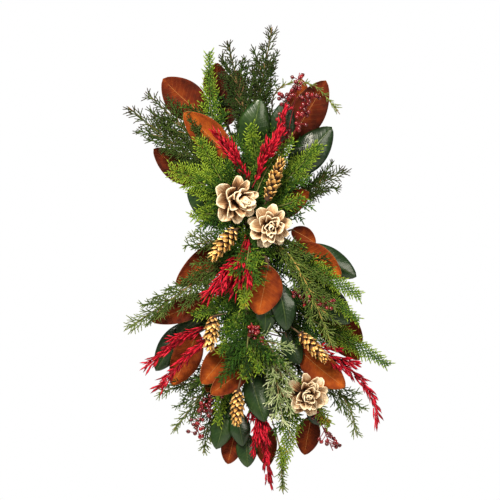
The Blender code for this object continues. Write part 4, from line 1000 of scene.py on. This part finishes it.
juniper_spray("juniper_foot_right", on_right(-216, 1), 0.6, [
    ([(80, -250), (132, -276), (170, -318), (184, -372)], 22, 0),
], side_step=23)


# The red grass: dried plumes dyed crimson. Each thin stem is hidden by flat pointed spikelets, all leaning
# forward, which overlap towards its end.

SPIKELET_LONG = 19.0
SPIKELET_WIDE = 4.6
SPIKELET_THICK = 1.2
SPIKELET_SLANT = (6, 34)
PLUME_STEP = 1.7
GRASS_RADII = (1.2, 0.6)
SIDE_GRASS_RADII = (0.8, 0.5)
SIDE_PLUME_LONG = (36, 54)


def red_plume(growth, path, begin, size, rng):
    steps = round(length_of(path) * (1 - begin) / (PLUME_STEP * MM))
    for i in range(steps):
        place, ahead, side, normal = station(path, begin + (1 - begin) * i / steps)
        turn = rng.uniform(0, tau)
        away = side * cos(turn) + normal * 0.55 * sin(turn)
        slant = radians(rng.uniform(*SPIKELET_SLANT))
        out = leaning(ahead, away, slant).normalized()
        wide = (out.cross(normal) + normal * rng.uniform(-0.8, 0.8)).normalized()
        wide = (wide - out * wide.dot(out)).normalized()
        start = place + away * rng.uniform(0.2, 5.0) * size * MM
        long = SPIKELET_LONG * size * MM * rng.uniform(0.65, 1.15)
        width = SPIKELET_WIDE * MM * rng.uniform(0.7, 1.1)
        growth.add(start, out, wide, long, width, SPIKELET_THICK * MM, rng.random(), 0.0, 1.0)


def red_grass(name, root, layer, arms, side_plumes=()):
    """Arms from one root. Each is (places, share where its spikelets begin, their size, layer). Side plumes
    leave each of them at these angles in degrees."""
    rng = random.Random(name)
    growth = Growth(FINGER)
    stalks = []
    for places, begin, size, lift in arms:
        path = stem_path(root, layer + lift, places)
        stalks.append((path, *GRASS_RADII))
        red_plume(growth, path, begin, size, rng)
        for turn in side_plumes:
            share = rng.uniform(0.10, 0.60)
            long = rng.uniform(*SIDE_PLUME_LONG)
            route = side_route(path, share, long, turn * rng.uniform(0.6, 1.2), rng.uniform(0.2, 0.7))
            stalks.append((route, *SIDE_GRASS_RADII))
            red_plume(growth, route, 0.1, 0.9, rng)
    piece = joined(name + "_plumes", growth.piece(name, CRIMSON), stems("stalk", RED_STALK, stalks))
    dressed(piece, name, slot="red_grass")


def dyed_husk():
    husk = Finish("crimson_husk", {"Specular IOR Level": 0.25})
    streaks = husk.grain(500.0, 2.0)
    tone = (husk.attribute("tint") * 0.7 + husk.attribute("age") * 0.2 + streaks * 0.35 - 0.15).held()
    colour = husk.ramp(
        tone, (0.0, (0.12, 0.002, 0.008)), (0.5, (0.42, 0.004, 0.020)), (1.0, (0.72, 0.025, 0.06))
    )
    return husk.done(colour, 0.42 + streaks * 0.2, streaks, 0.0004)


CRIMSON = dyed_husk()
RED_STALK = plain("red_stalk", (0.34, 0.02, 0.03), (0.16, 0.01, 0.015), 0.5)

red_grass("red_grass_top", on_front(-4, 56), 7.3, [
    ([(-12, 84), (-34, 118), (-64, 158)], 0.15, 1.0, 0),
    ([(10, 84), (36, 140), (60, 200)], 0.2, 0.65, 0.4),
], side_plumes=(-10, 0, 10))
red_grass("red_grass_low", on_front(-6, -20), 6.6, [
    ([(-14, -44), (-44, -82), (-78, -122)], 0.04, 1.3, 0),
    ([(-12, -66), (-24, -90), (-32, -114)], 0.04, 1.3, 0.9),
], side_plumes=(-16, -8, 0, 8, 14))
red_grass("red_grass_left", on_left(-142, 3), 2.9, [
    ([(-60, -170), (-118, -196), (-184, -246)], 0.4, 1.0, 0),
    ([(-56, -186), (-110, -226), (-162, -284)], 0.4, 1.0, 0.3),
], side_plumes=(8,))
red_grass("red_grass_foot", on_foot(4, 3), 2.8, [
    ([(10, -330), (24, -394), (30, -452)], 0.25, 1.0, 0),
], side_plumes=(-26, -14, 0, 14, 26))
red_grass("red_grass_right", on_right(-188, 1), 1.0, [
    ([(80, -206), (152, -240), (204, -288), (222, -344)], 0.35, 1.0, 0),
], side_plumes=(-22, -10, 8, 18))


# The berries: small, round, glossy and deep red, each on its own thin reddish stalk with the dry brown end of
# the flower on its far side.

BERRY_RADIUS = 3.9
BERRY_DENT = 0.07
FLOWER_END = (1.6 * MM, 1.8 * MM, 1.8 * MM)
SPRIG_RADII = (1.4, 0.8)
PEDICEL_RADII = (0.75, 0.6)
EXTRA_BERRIES = 6
ROW_SLANT = (35, 75)
CROWD_SLANT = (10, 85)
CROWDING = 0.75


def berry():
    """A small ball with a dent at its far end, modelled once."""
    bpy.ops.mesh.primitive_uv_sphere_add(segments=12, ring_count=8, radius=0.5, location=(0, 0, 0))
    triangulate()
    for vert in bpy.context.object.data.vertices:
        if vert.co.z > 0.49:
            vert.co.z -= BERRY_DENT
    return modelled_once()


def berry_spray(name, root, layer, arms):
    """Arms from one root. Each is (places, berries in its row, share where they begin, their stalks' length).
    Six times as many more are crowded towards its end."""
    rng = random.Random(name)
    berries = Growth(BERRY)
    ends = Growth(FINGER)
    stalks = []
    for places, count, begin, stalk in arms:
        path = stem_path(root, layer, places)
        stalks.append((path, *SPRIG_RADII))
        picked = []
        for i in range(count):
            share = begin + (0.96 - begin) * i / max(1, count - 1)
            slant, lift, run = rng.uniform(*ROW_SLANT), rng.uniform(-0.1, 0.7), rng.uniform(0.7, 1.25)
            picked.append((share, HANDS[i % 2], slant, lift, run))
        for i in range(count * EXTRA_BERRIES):
            share = begin - 0.1 + (1.09 - begin) * rng.random() ** CROWDING
            hand, slant = rng.choice(HANDS), rng.uniform(*CROWD_SLANT)
            picked.append((share, hand, slant, rng.uniform(0.0, 2.2), rng.uniform(0.5, 1.5)))
        for share, hand, slant, lift, run in picked:
            start, ahead = along(path, share), heading(path, share)
            side = ahead.cross(TO_ROOM).normalized() * hand
            out = (leaning(ahead, side, radians(slant)) + TO_ROOM * lift).normalized()
            end = start + out * stalk * MM * run * 1.15
            stalks.append(([start, start.lerp(end, 0.5) + ahead * 0.6 * MM, end], *PEDICEL_RADII))
            wide = out.orthogonal().normalized()
            size = 2 * BERRY_RADIUS * MM * rng.uniform(0.86, 1.0)
            berries.add(end, out, wide, size, size, size, rng.random(), 0.5, 1.0)
            ends.add(end + out * size * 0.42, out, wide, *FLOWER_END, 0.5, 0.5)
    stalk = stems("stalk", RED_STALK, stalks)
    piece = joined(name + "_sprigs", berries.piece(name, BERRY_SKIN), ends.piece("ends", TWIG_BARK), stalk)
    dressed(piece, name, slot="berry")


def berry_skin():
    skin = Finish("berry_skin", {"Coat Weight": 0.5, "Coat Roughness": 0.08})
    bloom = skin.grain(420.0, 2.0)
    tone = (skin.attribute("tint") * 0.7 + bloom * 0.3).held()
    colour = skin.ramp(
        tone, (0.0, (0.05, 0.002, 0.006)), (0.6, (0.16, 0.003, 0.010)), (1.0, (0.34, 0.009, 0.016))
    )
    return skin.done(colour, 0.16 + bloom * 0.2)


BERRY = berry()
BERRY_SKIN = berry_skin()

berry_spray("berries_top", on_right(58, 5), 5.3, [
    ([(44, 120), (54, 180), (58, 226)], 5, 0.5, 12),
    ([(48, 120), (84, 180), (102, 226)], 4, 0.6, 12),
    ([(46, 112), (66, 176), (82, 262)], 2, 0.85, 8),
])
berry_spray("berries_centre", on_front(-3, -166), 7.2, [
    ([(2, -180), (8, -198), (13, -217)], 5, 0.3, 9),
])
berry_spray("berries_right", on_right(-86, 5), 5.4, [
    ([(50, -108), (90, -124), (136, -140)], 5, 0.5, 11),
])
berry_spray("berries_left", on_left(-258, 1), 1.5, [
    ([(-50, -284), (-84, -320), (-98, -366)], 5, 0.4, 12),
])
berry_spray("berries_foot", on_right(-264, 1), 1.6, [
    ([(60, -290), (110, -330), (142, -396)], 5, 0.5, 12),
])


# The gold cones: long cones with thin ovate scales set in a spiral, brushed with gold paint. The paint
# catches the scales' outer faces and lips, with a painted highlight on the lips, and the bare brown wood
# shows in the gaps, darkened there as painted shade.

CONE_SCALES = 52
CONE_SLANT = 54
CONE_CLOSING = 30
GOLDEN = radians(137.5)
PICK_RADIUS = 1.6


def scale_shape(cells, thick, form):
    """A woody scale modelled once: a grid drawn to an outline by a formula, then thickened and rounded."""
    bpy.ops.mesh.primitive_grid_add(x_subdivisions=cells, y_subdivisions=cells, size=1)
    scale = bpy.context.object
    for vert in scale.data.vertices:
        vert.co = form(2 * vert.co.x, vert.co.y + 0.5)
    wall = scale.modifiers.new("wall", "SOLIDIFY")
    wall.thickness = thick
    wall.offset = 0
    rounding = scale.modifiers.new("rounding", "SUBSURF")
    rounding.levels = rounding.render_levels = 1
    only(scale)
    bpy.ops.object.modifier_apply(modifier="wall")
    bpy.ops.object.modifier_apply(modifier="rounding")
    triangulate()
    return modelled_once()


def pointed_scale(x, share):
    """Ovate with a blunt point, its back rounded outwards and its lip bent in to the cone."""
    outline = 0.42 + 0.58 * sin(pi / 2 * min(1, share / 0.5))
    if share > 0.5:
        outline = cos(pi / 2 * (share - 0.5) / 0.54) ** 0.75
    bulge = 0.20 * (1 - x * x) * share - 0.22 * share**2.5
    return Vector((x * outline / 2, bulge, share - 0.08 * x * x * share))


def wire_pick(points):
    return stems("pick", PICK_WOOD, [(points, PICK_RADIUS, PICK_RADIUS)], 8)


def gold_cone(name, root, base, tip, width, opened=0.0):
    """A cone on a wire pick. Its two ends are (u, v, depth)."""
    rng = random.Random(name)
    start, end = spot(*base), spot(*tip)
    axis = (end - start).normalized()
    length = (end - start).length
    across = axis.orthogonal().normalized()
    scales = Growth(CONE_SCALE)
    for i in range(CONE_SCALES):
        share = i / (CONE_SCALES - 1)
        outward = Matrix.Rotation(i * GOLDEN, 3, axis) @ across
        swell = min(1.0, 0.66 + 1.6 * share) * (1 - 0.60 * share**3.2)
        radius = width / 2 * MM * swell
        slant = (CONE_SLANT - CONE_CLOSING * share) * (1 + 0.5 * opened) + rng.uniform(-9, 9)
        slant = radians(slant)
        ahead = leaning(axis, outward, slant).normalized()
        long = radius * 0.74 / max(0.42, sin(slant)) * (1 + 0.15 * opened) * rng.uniform(0.92, 1.16)
        wide = axis.cross(outward).normalized()
        foot = start + axis * length * (0.88 * share) + outward * radius * 0.34
        girth = (radius * rng.uniform(0.7, 0.86), radius * 0.9)
        scales.add(foot, ahead, wide, long, *girth, rng.random(), 0.0, 1.0)
    core_run = [start, start.lerp(end, 0.5), start.lerp(end, 0.93)]
    core = stems("core", CONE_WOOD, [(core_run, width * 0.22, width * 0.08)], 8)
    pick = wire_pick([*root, start, start + axis * 8 * MM])
    dressed(joined(name + "_scales", scales.piece(name, GOLD_PAINT), core, pick), name, slot="gold_paint")


def gold_paint():
    """Gold on each scale's outer half, worn through to brown wood in painted shade at its root, painted
    highlight at its lip.
    """
    gold = Finish("gold_paint")
    wear = gold.grain(330.0, 4.0)
    fibres = gold.grain(1200.0, 2.0)
    age = gold.attribute("age")
    # Gold paint over bare wood, the wood towards each scale's root darkened further as painted shade.
    gold_over_shaded_wood = ((age - 0.37) * 3.4 + (wear - 0.5) * 2.2 + gold.attribute("tint") * 0.4).held()
    # Painted highlight: the lips are mixed towards pale gold.
    lip = ((age - 0.84) * 7).held()
    metal = gold.mix(gold.attribute("tint"), (0.56, 0.27, 0.06), (0.92, 0.60, 0.22))
    metal = gold.mix(lip * 0.7, metal, (1.0, 0.86, 0.55))
    colour = gold.mix(gold_over_shaded_wood, (0.060, 0.022, 0.008), metal)
    gold.feed("Metallic", gold_over_shaded_wood * 0.6)
    return gold.done(colour, 0.62 - gold_over_shaded_wood * 0.30 + fibres * 0.12, fibres * 0.6 + wear, 0.0006)


CONE_SCALE = scale_shape(4, 0.12, pointed_scale)
GOLD_PAINT = gold_paint()
CONE_WOOD = plain("cone_wood", (0.07, 0.028, 0.012), (0.030, 0.013, 0.007), 0.75)
PICK_WOOD = plain("pick_wood", (0.13, 0.08, 0.035), (0.07, 0.04, 0.02), 0.7)

gold_cone("cone_top", on_right(30, 5), (26, 42, 78), (53, 119, 84), 25)
gold_cone("cone_waist", on_left(-4, 5), (-28, -8, 82), (-72, -60, 84), 29, 0.3)
gold_cone("cone_left", on_left(-150, 4), (-66, -158, 66), (-75, -219, 70), 27)
gold_cone("cone_foot", [*on_front(-6, -222), spot(-14, -246, 66)], (-24, -285, 77), (-27, -350, 78), 26)
gold_cone("cone_right", on_right(-140, 4), (82, -188, 66), (133, -238, 70), 26)


# The cream rosettes: the opened tops of large cones, given a thin wash of cream paint. Thick woody scales lie
# in turns round a small closed heart, like a rose's petals, with tan wood showing at their roots and in their
# streaks, the roots darkened further as painted shade and the petals' edges paled as a painted highlight.

PETALS = 30
PETAL_REACH = 44.0
PETAL_RISE = 86.0
PETAL_SPREAD = 12.5
HEART_RADII = (11.0, 3.0)


def rounded_petal(x, share):
    """A fan with a broad round lip, hollow towards the heart."""
    outline = 0.46 + 0.54 * sin(pi / 2 * min(1, share / 0.7)) ** 1.2
    hollow = 0.30 * (1 - x * x) * share - 0.16 * share**3 + 0.06 * share * sin(5 * x)
    height = share * (1 - 0.34 * abs(x) ** 2.0 * share - 0.05 * share * cos(7 * x))
    return Vector((x * outline / 2, hollow, height))


def rosette(name, root, centre, facing, size, turn=0.0):
    """Its centre is (u, v, depth), and facing is the way it looks, as (u, v, depth)."""
    rng = random.Random(name)
    middle = spot(*centre)
    look = Vector((facing[0], -facing[2], facing[1])).normalized()
    across = Matrix.Rotation(turn, 3, look) @ look.orthogonal().normalized()
    petals = Growth(PETAL)
    for i in range(PETALS):
        share = i / (PETALS - 1)
        outward = Matrix.Rotation(i * GOLDEN + rng.uniform(-0.32, 0.32), 3, look) @ across
        rise = radians(10 + PETAL_RISE * share**1.1 + rng.uniform(-17, 17))
        ahead = leaning(outward, look, rise).normalized()
        reach = PETAL_REACH * size * (1 - 0.80 * share**1.5) * rng.uniform(0.84, 1.06)
        root_out = (9.5 - 8.5 * share) * size
        long = max(17.0 * size, min(31 * size, (reach - root_out) / max(0.3, cos(rise))))
        foot = middle + look * (13 * share - 5) * size * MM + outward * root_out * MM
        wide = (look.cross(outward) + look * rng.uniform(-0.55, 0.55)).normalized()
        wide = (wide - ahead * wide.dot(ahead)).normalized()
        width = (PETAL_SPREAD + PETAL_SPREAD * (1 - share)) * size * MM * rng.uniform(0.72, 1.16)
        petals.add(foot, ahead, wide, long * MM, width, long * MM * 0.75, rng.random(), 0.0, 1.0)
    heart_run = [middle - look * 7 * MM, middle + look * 4 * size * MM, middle + look * 12 * size * MM]
    heart = stems("heart", CONE_WOOD, [(heart_run, HEART_RADII[0] * size, HEART_RADII[1])], 10)
    pick = wire_pick([*root, middle - look * 9 * MM, middle + look * 3 * MM])
    dressed(joined(name + "_petals", petals.piece(name, CREAM_WASH), heart, pick), name, slot="cream_wash")


def cream_wash():
    """Thin cream paint streaked along each petal, rubbed to tan wood; painted shade at roots, painted
    highlight at edges.
    """
    cream = Finish("cream_wash", {"Specular IOR Level": 0.3})
    age, rim, tint = (cream.attribute(name) for name in ("age", "off", "tint"))
    along_petal = cream.node("CombineXYZ", {"X": rim * 5, "Y": age * 1.3, "Z": tint * 40})
    streaks = cream.grain(1.6, 4.0, along_petal)
    patches = cream.grain(90.0, 2.0)
    # Painted shade and highlight: the wash darkens towards each petal's root and pales towards its edges.
    wash_and_painted_light = age * 1.45 - 0.50 + (streaks - 0.5) * 1.3 + (patches - 0.5) * 0.5
    wash_and_painted_light = wash_and_painted_light + tint * 0.2 + rim.size() * 0.15
    colour = cream.ramp(
        wash_and_painted_light.held(), (0.0, (0.040, 0.015, 0.006)), (0.25, (0.24, 0.11, 0.045)), (0.5, (0.50, 0.31, 0.165)),
        (0.75, (0.70, 0.55, 0.38)), (1.0, (0.84, 0.73, 0.55)),
    )
    return cream.done(colour, 0.55 + streaks * 0.25, streaks, 0.0010)


PETAL = scale_shape(6, 0.085, rounded_petal)
CREAM_WASH = cream_wash()

rosette("rosette_left", on_front(-8, 34), (-28, 44, 78), (0.62, -0.15, 1), 1.16)
rosette("rosette_centre", on_front(9, -10), (31, -3, 80), (0.05, -0.1, 1), 1.03, 0.4)
rosette("rosette_foot", on_right(-210, 3), (95, -295, 60), (0.1, -0.1, 1), 1.05, 0.8)


# The stage: a pale floor well below the swag, a white room whose light is dim and warm, and four soft lamps:
# the key high on the left, a weaker fill on the right, a cool one below and one behind. The camera stands
# straight in front of the door at the height of the swag's middle.

PHOTO_WIDTH = 0.875
PHOTO_MIDDLE = Vector((-0.0035, -0.045, -0.17475))
CAMERA_AWAY = 3.0
ROOM_LIGHT = ((1.0, 0.93, 0.78, 1), 0.26)
ROOM_SEEN = ((1, 1, 1, 1), 1.0)
LAMPLIGHT = (1.0, 0.93, 0.81)

bpy.ops.mesh.primitive_plane_add(size=3.0, location=(0, 0, -1.0))
floor = bpy.context.object
floor.name = "floor"
floor.data.materials.append(plain("pale_floor", (0.80, 0.80, 0.79), (0.77, 0.77, 0.76), 0.8, 6.0))

world = bpy.data.worlds.new("white_room")
world.use_nodes = True
room = world.node_tree
glow = room.nodes.new("ShaderNodeBackground")
seen = room.nodes.new("ShaderNodeLightPath")
either = room.nodes.new("ShaderNodeMixShader")
room.links.new(seen.outputs["Is Camera Ray"], either.inputs[0])
for entry, light, colour, strength in ((1, glow, *ROOM_LIGHT), (2, room.nodes["Background"], *ROOM_SEEN)):
    light.inputs["Color"].default_value = colour
    light.inputs["Strength"].default_value = strength
    room.links.new(light.outputs[0], either.inputs[entry])
room.links.new(either.outputs[0], room.nodes["World Output"].inputs["Surface"])
bpy.context.scene.world = world
bpy.context.scene.view_settings.view_transform = "Standard"
bpy.context.scene.view_settings.gamma = 0.93


def lamp(name, place, width, power, colour=LAMPLIGHT):
    data = bpy.data.lights.new(name, "AREA")
    data.size = width
    data.energy = power
    data.color = colour
    light = placed(name, data)
    light.location = place
    light.rotation_euler = (PHOTO_MIDDLE - light.location).to_track_quat("-Z", "Y").to_euler()


lamp("key", (-0.7, -1.6, 1.1), 0.7, 84)
lamp("fill", (1.2, -1.8, 0.2), 0.9, 20)
lamp("cool", (0.1, -1.7, -1.7), 0.8, 14, (0.66, 0.84, 1.0))
lamp("back", (0.5, 1.8, 0.6), 1.0, 30, (1.0, 0.95, 0.88))

camera = placed("camera", bpy.data.cameras.new("camera"))
camera.location = PHOTO_MIDDLE - Vector((0, CAMERA_AWAY, 0))
camera.rotation_euler = (pi / 2, 0, 0)
camera.data.lens = camera.data.sensor_width * CAMERA_AWAY / PHOTO_WIDTH
bpy.context.scene.camera = camera
